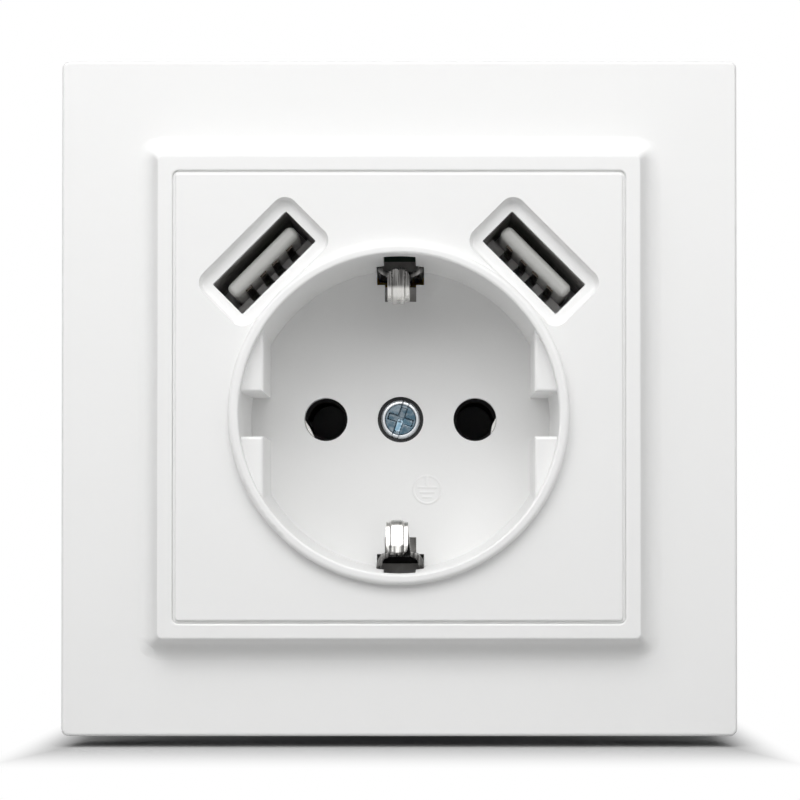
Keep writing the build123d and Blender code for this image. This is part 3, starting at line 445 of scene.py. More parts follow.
def metal(
    name,
    rgb,
    roughness,
    shade=0.7,
    stretch=(1, 1, 1),
    streak=3000.0,
    patch=400.0,
    relief=0.1,
    tint="Patches",
    deep=None,
    where=None,
):
    """Metal with streaks along its rolling direction and patches in its plating, darkened by one of them."""
    values = {"Stretch": stretch, "Streak Scale": streak, "Patch Scale": patch}
    material, tree, shader, worked = new_finish(name, worked_metal(), values)
    shader.inputs["Metallic"].default_value = 1.0
    dark = stepped(tree, worked[tint], *DARK_RANGE)
    if where:
        dark = calculation(tree, "MULTIPLY", ranged(tree, dark, DARK_LEAST, 1.0), where(tree))
    gloss = ranged(tree, worked["Streaks"], *(roughness * share for share in METAL_GLOSS))
    patched = blended(tree, dark, rgb, deep or shaded(rgb, shade))
    dress(tree, shader, patched, gloss, worked["Streaks"], relief)
    return material


def object_axes(tree):
    """X, Y and Z of the Object coordinates."""
    where = tree.nodes.new("ShaderNodeTexCoord").outputs["Object"]
    return add_node(tree, "ShaderNodeSeparateXYZ", {"Vector": where}).outputs


# Radius from the well's middle inside which a blade stays plain bright nickel: rubbed bright by plugs, and
# free of painted shade.
RUBBED_UNSHADED_R = 15.6 * MM
RUBBED_SHADE_FADE = 0.6 * MM
DISH_FADE = 0.1 * MM


def unrubbed_painted_shade(tree):
    """1 on the parts of a blade that no plug rubs bright, where its streaks are darkened as painted shade."""
    height = calculation(tree, "SUBTRACT", object_axes(tree)["Z"], WELL.z)
    reach = calculation(tree, "ABSOLUTE", height, 0)
    return stepped(tree, reach, RUBBED_UNSHADED_R, RUBBED_UNSHADED_R + RUBBED_SHADE_FADE)


def inside_head(tree):
    """1 within the dished face of the cover screw, where the dark blue painted reflection goes."""
    axes = object_axes(tree)
    squares = []
    for axis, middle in (("X", WELL.x), ("Z", WELL.z)):
        away = calculation(tree, "ABSOLUTE", calculation(tree, "SUBTRACT", axes[axis], middle), 0)
        squares.append(calculation(tree, "POWER", away, 2.0))
    radius = calculation(tree, "SQRT", calculation(tree, "ADD", *squares), 0)
    dish_r = bpy.context.scene.socket_screws.dish_r
    return stepped(tree, calculation(tree, "SUBTRACT", dish_r, radius), -DISH_FADE, DISH_FADE)


def colours():
    """Base colours that the scene holds."""
    return bpy.context.scene.socket_colours


def white_plastic():
    return plastic("satin_white_plastic", colours().white_plastic, roughness=0.42, shade=0.985)


def grey_plastic():
    return plastic("grey_housing_plastic", colours().grey_plastic, roughness=0.5, shade=0.93, relief=0.25)


def dark_plastic():
    return plastic("dark_base_plastic", colours().dark_plastic, roughness=0.55, relief=0.25)


def port_plastic():
    return plastic("port_tongue_plastic", colours().port_plastic, roughness=0.4, shade=0.93)


def zinc_steel():
    return metal("zinc_plated_steel", colours().zinc, roughness=0.3, shade=0.72, patch=900.0)


def nickel_plate():
    # Outside the rubbed noses the streaks darken the nickel nearly to black: painted shade for the dark
    # reflections of the well, beside real rubbing at the noses.
    return metal(
        "nickel_plated_spring",
        colours().nickel,
        roughness=0.26,
        shade=0.1,
        stretch=(1, 0.08, 0.08),
        streak=2600.0,
        relief=0.25,
        tint="Streaks",
        where=unrubbed_painted_shade,
    )


def blue_zinc():
    # The dish is patched with near-black blue: real blue passivation and painted reflection in one.
    return metal(
        "blue_zinc_screw_painted_reflection",
        colours().zinc,
        roughness=0.24,
        patch=1500.0,
        relief=0.8,
        deep=colours().blue_zinc,
        where=inside_head,
    )


def dull_nickel():
    return metal("dulled_nickel", colours().dull_nickel, roughness=0.5, shade=0.8)


def brass_painted_shade():
    # Brass painted nearly black as shade.
    return metal("brass_in_painted_shade", colours().brass_painted_shade, roughness=0.5, shade=0.6)


def brass():
    return metal("stamped_brass", colours().brass, roughness=0.32, shade=0.85)


def port_steel():
    return metal("tinned_port_sheet", colours().steel, roughness=0.5, shade=0.8, stretch=(1, 0.1, 1))


def gold_plate():
    # Gold of the port contacts, painted nearly black as shade.
    return metal("plated_contact", colours().gold, roughness=0.25, shade=0.85)


def board_green():
    return plastic("solder_mask", colours().board_green, roughness=0.3, shade=0.6, grain=1500.0, relief=0.3)


def ferrite():
    return plastic("pressed_ferrite", colours().ferrite, roughness=0.6, shade=0.7, grain=2500.0, relief=0.4)


def coil_tape():
    return plastic("winding_tape", colours().coil_tape, roughness=0.25, shade=0.8, relief=0.2)


def can_sleeve():
    return plastic("can_sleeve", colours().can_sleeve, roughness=0.25, shade=0.8)


def chip_black():
    return plastic("chip_resin", colours().chip_black, roughness=0.6, shade=0.8, relief=0.4)


def lead_brown():
    return plastic("brown_wire_skin", colours().lead_brown, roughness=0.4, shade=0.85)


def lead_blue():
    return plastic("blue_wire_skin", colours().lead_blue, roughness=0.4, shade=0.85)


FINISHES = {
    maker.__name__: maker
    for maker in (
        white_plastic, grey_plastic, dark_plastic, port_plastic, zinc_steel, nickel_plate, brass, port_steel,
        gold_plate, board_green, ferrite, coil_tape, can_sleeve, chip_black, lead_brown, lead_blue, blue_zinc,
        brass_painted_shade, dull_nickel,
    )
}
# The pin contacts get brass painted dark as shade.
NODE_LOOKS = {"earth_strap": "dull_nickel", "live_contact": "brass_painted_shade", "neutral_contact": "brass_painted_shade"}


@cache
def finish(slot):
    """Finish of a material slot, made when it is first asked for."""
    return FINISHES[slot]()


# Mesh helpers

def smoothstep(low, high, value):
    """0 below the low end, 1 above the high end and a soft rise between them."""
    share = min(max((value - low) / (high - low), 0.0), 1.0)
    return share * share * (3 - 2 * share)


SHARP = radians(35)
MERGE_DISTANCE = 0.001 * MM


def closed_mesh(shape, name, sharp=SHARP):
    """Mesh of a bmesh with its doubles merged, its faces outwards and its hard edges kept hard."""
    bmesh.ops.remove_doubles(shape, verts=shape.verts, dist=MERGE_DISTANCE)
    bmesh.ops.recalc_face_normals(shape, faces=shape.faces)
    mesh = bpy.data.meshes.new(name)
    shape.to_mesh(mesh)
    shape.free()
    soften(mesh, sharp)
    return mesh


def soften(mesh, sharp=SHARP):
    """Smooth shading with hard edges past an angle."""
    mesh.shade_smooth()
    mesh.set_sharp_from_angle(angle=sharp)


def settled(piece):
    """Plain mesh of a piece with its modifiers carried out, and the piece itself taken away."""
    bpy.context.view_layer.update()
    evaluated = piece.evaluated_get(bpy.context.evaluated_depsgraph_get())
    mesh = bpy.data.meshes.new_from_object(evaluated)
    bpy.data.objects.remove(piece)
    return mesh


def draft(name, mesh):
    """New object for a mesh, linked into the scene."""
    piece = bpy.data.objects.new(name, mesh)
    bpy.context.scene.collection.objects.link(piece)
    return piece


def publish(name, mesh, slot, body, replaced=(), look=None):
    """Finished piece: its finish, the body that it rides on and the nodes that it stands for."""
    mesh.name = name
    mesh.materials.clear()
    mesh.materials.append(finish(look or slot))
    piece = draft(name, mesh)
    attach(piece, body)
    if replaced:
        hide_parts(*replaced)


def circle(radius, count):
    """(x, y) points of a circle about the origin."""
    angles = [2 * pi * index / count for index in range(count)]
    return [(radius * cos(angle), radius * sin(angle)) for angle in angles]


def new_loop(shape, spots):
    """Vertices of a loop at these points."""
    return [shape.verts.new(spot) for spot in spots]


def bands(shape, loops):
    """Faces between each closed loop and the next."""
    for loop, following in zip(loops, loops[1:]):
        for index in range(len(loop)):
            after = (index + 1) % len(loop)
            shape.faces.new((loop[index], loop[after], following[after], following[index]))


def ringed(shape, loops):
    """Closed ring through closed loops."""
    bands(shape, [*loops, loops[0]])


def capped(shape, loops):
    """Closed body through closed loops, with flat ends."""
    bands(shape, loops)
    shape.faces.new(loops[0])
    shape.faces.new(loops[-1])


def fan(shape, loop, middle):
    """Faces from a closed loop to its middle."""
    for index, vertex in enumerate(loop):
        shape.faces.new((vertex, loop[(index + 1) % len(loop)], middle))


def straight_run(start, end, step):
    """(point, direction) pairs from a start towards an end, at most a step apart, without the end."""
    count = max(1, ceil((end - start).length / step))
    way = (end - start).normalized()
    return [(start.lerp(end, index / count), way) for index in range(count)]


def rounded_path(corners, radii, step):
    """(point, direction) pairs along straight runs joined by tangent arcs, about a step apart."""
    stations = []
    start = corners[0]
    for before, corner, after, radius in zip(corners, corners[1:], corners[2:], radii):
        arriving = (corner - before).normalized()
        leaving = (after - corner).normalized()
        turn = acos(max(-1.0, min(1.0, arriving.dot(leaving))))
        cut = radius * tan(turn / 2)
        first = corner - arriving * cut
        stations += straight_run(start, first, step)
        inward = (leaving - arriving * arriving.dot(leaving)).normalized()
        hub = first + inward * radius
        count = max(2, ceil(radius * turn / step))
        for index in range(count):
            angle = turn * index / count
            point = hub - inward * radius * cos(angle) + arriving * radius * sin(angle)
            stations.append((point, arriving * cos(angle) + inward * sin(angle)))
        start = corner + leaving * cut
    stations += straight_run(start, corners[-1], step)
    stations.append((corners[-1], stations[-1][1]))
    return stations


# Pieces

class SOCKET_OT_finishes(bpy.types.Operator):
    """Give every solid of the frame the finish of its material slot"""

    bl_idname = "socket.finishes"
    bl_label = "Finishes"

    def execute(self, context):
        for name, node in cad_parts.items():
            slot = node.material_slots[0].material.name.split(".")[0]
            node.material_slots[0].material = finish(NODE_LOOKS.get(name, slot))
        return {"FINISHED"}


BLADE_STEP = 0.15 * MM
TONGUE_COLUMNS = 20
WING_COLUMNS = 12
ARCH_SLOPE = 0.3
ARCH_POWER = 9
EDGE_SEGMENTS = 2
EDGE_ANGLE = radians(50)


def plate_front(sizes):
    """Where the root plate of a blade begins, along Y."""
    return RIM_Y + sizes.shoulder_depth + sizes.shoulder_bend


def blade_section(sizes, across, point, inward):
    """Point of a blade's middle surface, pressed up at the bead and arched back at the plate's sides."""
    half_tongue = sizes.tongue_width / 2
    half_bead = sizes.bead_width / 2
    flank = sizes.bead_slope / 2
    bead_end = RIM_Y + sizes.shoulder_depth + 2 * sizes.shoulder_bend
    bead = 1 - smoothstep(half_bead - flank, half_bead + flank, abs(across))
    bead *= 1 - smoothstep(bead_end - sizes.bead_width, bead_end, point.x)
    result = point + inward * sizes.bead_rise * bead
    wing = (abs(across) - half_tongue) / (BLADE_HIGH.x - half_tongue)
    if wing > 0:
        arch = ARCH_SLOPE * wing + (1 - ARCH_SLOPE) * wing ** ARCH_POWER
        flat_y = POT_BACK_Y - sizes.wing_flat
        arch *= 1 - smoothstep((plate_front(sizes) + flat_y) / 2, flat_y, point.x)
        result.y += sizes.wing_drop * arch
    return result


def blade_corners(sizes, nose_reach):
    """(y, radius) corners of a blade's middle line, from its back to its tip."""
    root_r = BLADE_HIGH.z - WELL.z - sizes.sheet / 2
    return [
        Vector((BLADE_HIGH.y, root_r)),
        Vector((RIM_Y + sizes.shoulder_depth, root_r)),
        Vector((RIM_Y + sizes.nose_depth, root_r - nose_reach)),
        Vector((RIM_Y + sizes.tip_depth, root_r - sizes.tip_reach)),
    ]


def blade_row(sizes, point, to_tip):
    """Places across a blade at a point of its middle line, with None beside the tongue."""
    half_tongue = sizes.tongue_width / 2
    to_corner = max(0.0, sizes.tip_corner - to_tip)
    half = half_tongue - sizes.tip_corner + sqrt(sizes.tip_corner ** 2 - to_corner ** 2)
    wing = BLADE_HIGH.x - half_tongue
    row = []
    for column in range(-WING_COLUMNS, TONGUE_COLUMNS + WING_COLUMNS + 1):
        across = half * (2 * min(max(column, 0), TONGUE_COLUMNS) / TONGUE_COLUMNS - 1)
        outside = max(-column, column - TONGUE_COLUMNS, 0)
        if outside and point.x < plate_front(sizes):
            row.append(None)
        else:
            row.append(across + (1 if column > 0 else -1) * wing * outside / WING_COLUMNS)
    return row


def blade_surface(sizes, side, nose_reach, left):
    """Middle surface of a blade: root plate with arched sides, and beaded tongue with nose and round tip."""
    corners = blade_corners(sizes, nose_reach)
    shape = bmesh.new()
    rows = []
    for point, way in rounded_path(corners, [sizes.shoulder_bend, sizes.nose_bend], BLADE_STEP):
        inward = Vector((-way.y, way.x))
        swing = left * (1 - smoothstep(RIM_Y + sizes.nose_depth, plate_front(sizes), point.x))
        row = []
        for across in blade_row(sizes, point, (corners[-1] - point).length):
            if across is None:
                row.append(None)
                continue
            spot = blade_section(sizes, across, point, inward)
            z = WELL.z + side * spot.y + sizes.raised
            row.append(shape.verts.new((WELL.x + across - swing, spot.x, z)))
        rows.append(row)
    for row, following in zip(rows, rows[1:]):
        for cell in zip(row, row[1:], following[1:], following):
            if None not in cell:
                shape.faces.new(cell)
    return closed_mesh(shape, "earth_blade_draft")


def blade_mesh(sizes, side, nose_reach, left):
    """Blade of bent sheet metal with rounded edges."""
    piece = draft("earth_blade_draft", blade_surface(sizes, side, nose_reach, left))
    sheet = piece.modifiers.new("Sheet", "SOLIDIFY")
    sheet.thickness = sizes.sheet
    sheet.offset = 0
    edges = piece.modifiers.new("Edges", "BEVEL")
    edges.width = sizes.edge
    edges.segments = EDGE_SEGMENTS
    edges.angle_limit = EDGE_ANGLE
    mesh = settled(piece)
    soften(mesh)
    return mesh


class SOCKET_OT_earth_blades(bpy.types.Operator):
    """Make the two sprung earth blades"""

    bl_idname = "socket.earth_blades"
    bl_label = "Earth blades"

    def execute(self, context):
        sizes = context.scene.socket_blade
        blades = (
            ("upper", 1, sizes.upper_reach, sizes.upper_left),
            ("lower", -1, sizes.lower_reach, sizes.lower_left),
        )
        for name, side, reach, left in blades:
            mesh = blade_mesh(sizes, side, reach, left)
            publish(f"{name}_earth_blade", mesh, "nickel_plate", f"{name}_earth", [f"{name}_earth_contact"])
        return {"FINISHED"}


ScrewForm = namedtuple("ScrewForm", "head_r head_height shank_r shank_length crossed turn rings spokes")
COARSE_HEAD = (24, 64)
FINE_HEAD = (64, 160)
CROSS_TAPER = 0.4
SCREW_SHARP = radians(40)
FACING_FRONT = radians(90)
FACING_DOWN = radians(180)
CLAW_TURN = radians(20)
CLAMP_TURN = radians(50)
THREAD_STEPS = 28
THREAD_SIDES = 6


def head_height(sizes, form, x, y):
    """Height of a screw head's face above its seat: rounded at its edge, slotted, crossed and dished."""
    distance = hypot(x, y)
    fall = max(0.0, distance - form.head_r + sizes.head_edge)
    height = form.head_height - sizes.head_edge + sqrt(max(0.0, sizes.head_edge ** 2 - fall ** 2))
    along = x * cos(form.turn) + y * sin(form.turn)
    across = y * cos(form.turn) - x * sin(form.turn)
    soft = sizes.recess_wall / 2
    half = sizes.slot_width / 2
    cut = sizes.slot_depth * (1 - smoothstep(half - soft, half + soft, abs(across)))
    if form.crossed:
        for run, side in ((abs(along), abs(across)), (abs(across), abs(along))):
            arm = 1 - smoothstep(half - soft, half + soft, side)
            arm *= 1 - smoothstep(sizes.cross_reach - soft, sizes.cross_reach + soft, run)
            cut = max(cut, arm * sizes.cross_depth * (1 - CROSS_TAPER * run / sizes.cross_reach))
        height -= sizes.dish_depth * (1 - smoothstep(sizes.dish_r - soft, sizes.dish_r + soft, distance))
    return height - cut


def screw_body(sizes, form):
    """Screw without its thread, standing on its seat at Z = 0 with its face up."""
    shape = bmesh.new()
    core_r = form.shank_r - sizes.thread_depth
    loops = []
    for ring in range(1, form.rings + 1):
        spots = circle(form.head_r * ring / form.rings, form.spokes)
        loops.append(new_loop(shape, [(x, y, head_height(sizes, form, x, y)) for x, y in spots]))
    below = [
        (form.head_r, 0.0),
        (form.shank_r, 0.0),
        (core_r, -sizes.thread_pitch),
        (core_r, -form.shank_length + sizes.thread_depth),
        (core_r - sizes.thread_depth, -form.shank_length),
    ]
    for radius, height in below:
        loops.append(new_loop(shape, [(x, y, height) for x, y in circle(radius, form.spokes)]))
    bands(shape, loops)
    fan(shape, loops[0], shape.verts.new((0, 0, head_height(sizes, form, 0, 0))))
    fan(shape, loops[-1], shape.verts.new((0, 0, -form.shank_length)))
    return closed_mesh(shape, "screw_draft", SCREW_SHARP)


def geometry_tree(name, inputs):
    """Empty geometry tree with (label, socket kind, default) inputs and a material."""
    inputs = [
        ("Geometry", "NodeSocketGeometry", None),
        *inputs,
        ("Material", "NodeSocketMaterial", None),
    ]
    return new_tree(name, "GeometryNodeTree", inputs, [("Geometry", "NodeSocketGeometry")])


def close_tree(tree, given, out, geometry):
    """Last steps of every tree: instances made real, and the material set."""
    real = add_node(tree, "GeometryNodeRealizeInstances", {"Geometry": geometry}).outputs["Geometry"]
    inputs = {"Geometry": real, "Material": given["Material"]}
    painted = add_node(tree, "GeometryNodeSetMaterial", inputs).outputs["Geometry"]
    tree.links.new(painted, out["Geometry"])


@cache
def thread_tree():
    """Geometry tree that winds a thread round the shank of a screw."""
    inputs = [
        ("Core Radius", "NodeSocketFloat", 1.0 * MM),
        ("Crest", "NodeSocketFloat", 0.2 * MM),
        ("Pitch", "NodeSocketFloat", 0.7 * MM),
        ("Length", "NodeSocketFloat", 5.0 * MM),
    ]
    tree, given, out = geometry_tree("Screw Thread", inputs)
    winding = {
        "Resolution": THREAD_STEPS,
        "Rotations": calculation(tree, "DIVIDE", given["Length"], given["Pitch"]),
        "Start Radius": given["Core Radius"],
        "End Radius": given["Core Radius"],
        "Height": given["Length"],
    }
    helix = add_node(tree, "GeometryNodeCurveSpiral", winding).outputs["Curve"]
    section = {"Resolution": THREAD_SIDES, "Radius": given["Crest"]}
    crest = add_node(tree, "GeometryNodeCurvePrimitiveCircle", section).outputs["Curve"]
    sweep = {"Curve": helix, "Profile Curve": crest, "Fill Caps": True}
    wound = add_node(tree, "GeometryNodeCurveToMesh", sweep).outputs["Mesh"]
    drop = calculation(tree, "MULTIPLY", given["Length"], -1.0)
    down = add_node(tree, "ShaderNodeCombineXYZ", {"Z": drop}).outputs["Vector"]
    moved = add_node(tree, "GeometryNodeTransform", {"Geometry": wound, "Translation": down})
    joined = add_node(tree, "GeometryNodeJoinGeometry", {"Geometry": given["Geometry"]})
    tree.links.new(moved.outputs["Geometry"], joined.inputs["Geometry"])
    close_tree(tree, given, out, joined.outputs["Geometry"])
    return tree


def grown(piece, tree, values):
    """Plain mesh of a piece after a geometry tree with these named inputs."""
    modifier = piece.modifiers.new(tree.name, "NODES")
    modifier.node_group = tree
    for item in tree.interface.items_tree:
        if item.in_out == "INPUT" and item.name in values:
            modifier[item.identifier] = values[item.name]
    return settled(piece)


def screw_mesh(sizes, form):
    """Whole screw with its thread, standing on its seat at Z = 0 with its face up."""
    values = {
        "Core Radius": form.shank_r - sizes.thread_depth,
        "Crest": sizes.thread_depth,
        "Pitch": sizes.thread_pitch,
        "Length": form.shank_length - sizes.thread_depth,
        "Material": finish("zinc_steel"),
    }
    mesh = grown(draft("screw_draft", screw_body(sizes, form)), thread_tree(), values)
    soften(mesh, SCREW_SHARP)
    return mesh


def place_screw(sizes, node, body, form, spot, facing, look=None):
    """Screw in the place of a node, on its seat and tipped about X from facing up."""
    mesh = screw_mesh(sizes, form)
    mesh.transform(Matrix.Translation(spot) @ Matrix.Rotation(facing, 4, "X"))
    publish(f"{node}_threaded", mesh, "zinc_steel", body, [node], look)


def cover_screw(sizes):
    """Screw in the well's floor, with a fine head because it is seen from close by."""
    spot = Vector((WELL.x, SCREW_LOW.y + sizes.cover_head, WELL.z))
    shank = (sizes.cover_shank_r, SCREW_HIGH.y - spot.y)
    form = ScrewForm(sizes.cover_head_r, sizes.cover_head, *shank, True, sizes.cover_turn, *FINE_HEAD)
    place_screw(sizes, "cover_screw", "socket", form, spot, FACING_FRONT, "blue_zinc")


def claw_screw(sizes, node):
    """Screw that draws a claw, with its face to the front."""
    low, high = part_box(node)
    middle = (low + high) / 2
    spot = Vector((middle.x, low.y + sizes.claw_head, middle.z))
    shank = (sizes.claw_shank_r, high.y - spot.y)
    form = ScrewForm((high.x - low.x) / 2, sizes.claw_head, *shank, True, CLAW_TURN, *COARSE_HEAD)
    place_screw(sizes, node, node, form, spot, FACING_FRONT)


def clamp_screw(sizes, node, turn):
    """Slotted screw of a terminal, with its face down."""
    low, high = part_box(node)
    middle = (low + high) / 2
    spot = Vector((middle.x, middle.y, low.z + sizes.clamp_head))
    shank = (sizes.clamp_shank_r, high.z - spot.z)
    form = ScrewForm((high.x - low.x) / 2, sizes.clamp_head, *shank, False, turn, *COARSE_HEAD)
    place_screw(sizes, node, "socket", form, spot, FACING_DOWN)


class SOCKET_OT_screws(bpy.types.Operator):
    """Make the cover screw, the claw screws and the terminal screws with their recesses and threads"""

    bl_idname = "socket.screws"
    bl_label = "Screws"

    def execute(self, context):
        sizes = context.scene.socket_screws
        cover_screw(sizes)
        for side in ("left", "right"):
            claw_screw(sizes, f"{side}_claw_screw")
        for index, pole in enumerate(("live", "earth", "neutral")):
            clamp_screw(sizes, f"{pole}_terminal_screw", CLAMP_TURN * index)
        return {"FINISHED"}


MARK_BARS = 3
MARK_SHARP = radians(50)
RING_SPOKES = 72
RIDGE_STEPS = 8
FOOT_SINK = 0.03 * MM


def ridge(shape, sizes, path, join):
    """Rounded ridge on the well's floor along (point, across) stations, with its foot sunk in."""
    floor_y = POT_BACK_Y - sizes.floor_wall
    half = sizes.mark_line / 2
    angles = [pi * step / RIDGE_STEPS for step in range(RIDGE_STEPS + 1)]
    outline = [(half * cos(angle), floor_y - sizes.mark_rise * sin(angle)) for angle in angles]
    outline += [(-half, floor_y + FOOT_SINK), (half, floor_y + FOOT_SINK)]
    loops = []
    for point, across in path:
        spots = [(point.x + across.x * side, y, point.y + across.y * side) for side, y in outline]
        loops.append(new_loop(shape, spots))
    join(shape, loops)


def earth_mark_mesh(sizes):
    """Earth sign: a ring with a stem from its top and three bars that get shorter downwards."""
    middle = Vector((WELL.x + sizes.mark_right, WELL.z - sizes.mark_low))
    aside = Vector((1, 0))
    upward = Vector((0, 1))
    shape = bmesh.new()
    outward = [Vector(spot) for spot in circle(1.0, RING_SPOKES)]
    ridge(shape, sizes, [(middle + way * sizes.mark_r, way) for way in outward], ringed)
    first = middle + upward * sizes.mark_pitch / 2
    ridge(shape, sizes, [(middle + upward * sizes.mark_r, aside), (first, aside)], capped)
    for bar in range(MARK_BARS):
        share = bar / (MARK_BARS - 1)
        half = aside * (sizes.mark_long + (sizes.mark_short - sizes.mark_long) * share) / 2
        level = first - upward * sizes.mark_pitch * bar
        ridge(shape, sizes, [(level - half, upward), (level + half, upward)], capped)
    return closed_mesh(shape, "earth_mark", MARK_SHARP)


def turned_ring(profile, centre, name):
    """Closed ring from a closed (radius, y) profile about an axis along Y through a centre."""
    shape = bmesh.new()
    loops = []
    for radius, y in profile:
        spots = circle(radius, RING_SPOKES)
        loops.append(new_loop(shape, [(centre.x + x, y, centre.z + z) for x, z in spots]))
    ringed(shape, loops)
    return closed_mesh(shape, name)


def collar_mesh(sizes, centre, sleeve_y):
    """Dark collar with a funnel that guides a pin from its hole into the sleeve behind."""
    outer = sizes.hole_r + sizes.collar_wall
    profile = [
        (sizes.hole_r, POT_BACK_Y),
        (sizes.pin_r, POT_BACK_Y + sizes.funnel),
        (sizes.pin_r, sleeve_y),
        (outer, sleeve_y),
        (outer, POT_BACK_Y),
    ]
    return turned_ring(profile, centre, "pin_collar")


def screw_ring_mesh(sizes, head_r):
    """Dark ring at the bottom of the hole round the cover screw's head, put there as painted shade for the
    shadowed gap.
    """
    front_y = SCREW_LOW.y + sizes.shade_ring_depth
    back_y = POT_BACK_Y - FOOT_SINK
    hole_r = sizes.screw_hole_r
    profile = [(head_r, front_y), (head_r, back_y), (hole_r, back_y), (hole_r, front_y)]
    return turned_ring(profile, WELL, "screw_ring")


LIP_STEPS = 24
LIP_EDGE = 0.06 * MM


def lip_mesh(sizes, centre, start_deg, end_deg):
    """Sickle of bright metal inside the outer edge of a pin hole, from one angle to another."""
    shape = bmesh.new()
    front_y = POT_BACK_Y - sizes.lip_depth
    loops = []
    for step in range(LIP_STEPS + 1):
        share = step / LIP_STEPS
        angle = radians(start_deg + (end_deg - start_deg) * share)
        width = LIP_EDGE + (sizes.lip_width - LIP_EDGE) * sin(pi * share)
        outer = sizes.hole_r - LIP_EDGE / 2
        section = [
            (outer, front_y + LIP_EDGE),
            (outer - LIP_EDGE / 2, front_y),
            (outer - width + LIP_EDGE / 2, front_y),
            (outer - width, front_y + LIP_EDGE),
            (outer - width, POT_BACK_Y + sizes.funnel),
            (outer, POT_BACK_Y + sizes.funnel),
        ]
        way = Vector((cos(angle), 0, sin(angle)))
        spots = [Vector((centre.x, y, centre.z)) + way * radius for radius, y in section]
        loops.append(new_loop(shape, spots))
    capped(shape, loops)
    return closed_mesh(shape, "contact_lip")


def edge_lip_mesh(sizes):
    """Thin lip round the cover's edge that closes the gap to the frame and leaves a shallow groove."""
    inner = COVER_HIGH.x - FOOT_SINK
    outer = COVER_HIGH.x + sizes.cover_gap - FOOT_SINK
    front_y = FRAME_LOW.y + sizes.groove
    back_y = front_y + sizes.lip_back
    shape = bmesh.new()
    loops = []
    for half, y in ((inner, front_y), (outer, front_y), (outer, back_y), (inner, back_y)):
        corner = sizes.cover_corner + half - inner
        outline = rounded_rectangle(2 * half, 2 * half, corner)
        loops.append(new_loop(shape, [(x, y, z) for x, z in outline]))
    ringed(shape, loops)
    return closed_mesh(shape, "cover_edge_lip")


LIP_ANGLES = {"live": (181, 236), "neutral": (6, -42)}


class SOCKET_OT_well_details(bpy.types.Operator):
    """Make the earth mark, the cover's edge lip, the dark ring of painted shade round the cover screw, and
    the collars and lips in the pin holes of the well's floor
    """

    bl_idname = "socket.well_details"
    bl_label = "Well details"

    def execute(self, context):
        sizes = context.scene.socket_well
        publish("earth_mark", earth_mark_mesh(sizes), "white_plastic", "socket")
        publish("cover_edge_lip", edge_lip_mesh(sizes), "white_plastic", "socket")
        # The dark ring round the cover screw is painted shade.
        ring = screw_ring_mesh(sizes, context.scene.socket_screws.cover_head_r)
        publish("cover_screw_shade_ring", ring, "dark_plastic", "socket")
        for pole, angles in LIP_ANGLES.items():
            sleeve_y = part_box(f"{pole}_contact")[0].y
            centre = Vector((PIN_SIDE[pole], 0, WELL.z))
            publish(f"{pole}_pin_collar", collar_mesh(sizes, centre, sleeve_y), "dark_plastic", "socket")
            publish(f"{pole}_contact_lip", lip_mesh(sizes, centre, *angles), "nickel_plate", "socket")
        return {"FINISHED"}


CORNER_STEPS = 6


def rounded_rectangle(width, height, radius):
    """(x, z) points of a rectangle with round corners about the origin."""
    points = []
    for index, (side, rise) in enumerate(((1, 1), (-1, 1), (-1, -1), (1, -1))):
        for step in range(CORNER_STEPS + 1):
            angle = pi / 2 * (index + step / CORNER_STEPS)
            hub = (side * (width / 2 - radius), rise * (height / 2 - radius))
            points.append((hub[0] + radius * cos(angle), hub[1] + radius * sin(angle)))
    return points


def stacked(shape, sections):
    """Closed body through (outline, y) sections from front to back."""
    capped(shape, [new_loop(shape, [(x, y, z) for x, z in outline]) for outline, y in sections])


def tongue_mesh(sizes, front_y, back_y):
    """Tongue with a rounded front, about its port's axis."""
    shape = bmesh.new()
    sections = []
    for step in range(CORNER_STEPS + 1):
        angle = pi / 2 * step / CORNER_STEPS
        inset = sizes.edge * (1 - sin(angle))
        size = (sizes.tongue_width - 2 * inset, sizes.tongue_thickness - 2 * inset)
        outline = rounded_rectangle(*size, sizes.corner - inset)
        sections.append((outline, front_y + sizes.edge * (1 - cos(angle))))
    sections.append((sections[-1][0], back_y - sizes.wall_depth + FOOT_SINK))
    stacked(shape, [([(x, z + sizes.tongue_offset) for x, z in outline], y) for outline, y in sections])
    return closed_mesh(shape, "port_tongue")


def comb_mesh(sizes, back_y):
    """Wall at the back of a port with the block under the tongue, slotted for the four contacts."""
    shape = bmesh.new()
    half = sizes.comb_width / 2
    low = -sizes.comb_height / 2
    wall_y = back_y - sizes.wall_depth
    wall = [(half, -low), (-half, -low), (-half, low), (half, low)]
    stacked(shape, [(wall, wall_y), (wall, back_y)])
    top = sizes.tongue_offset - sizes.tongue_thickness / 2
    edges = [-half]
    for middle in (-sizes.outer_pitch, -sizes.inner_pitch, sizes.inner_pitch, sizes.outer_pitch):
        edges += [middle - sizes.slot_width / 2, middle + sizes.slot_width / 2]
    edges.append(half)
    for left, right in zip(edges[::2], edges[1::2]):
        tooth = [(right, top), (left, top), (left, low), (right, low)]
        stacked(shape, [(tooth, back_y - sizes.comb_depth), (tooth, wall_y + FOOT_SINK)])
    return closed_mesh(shape, "port_comb")


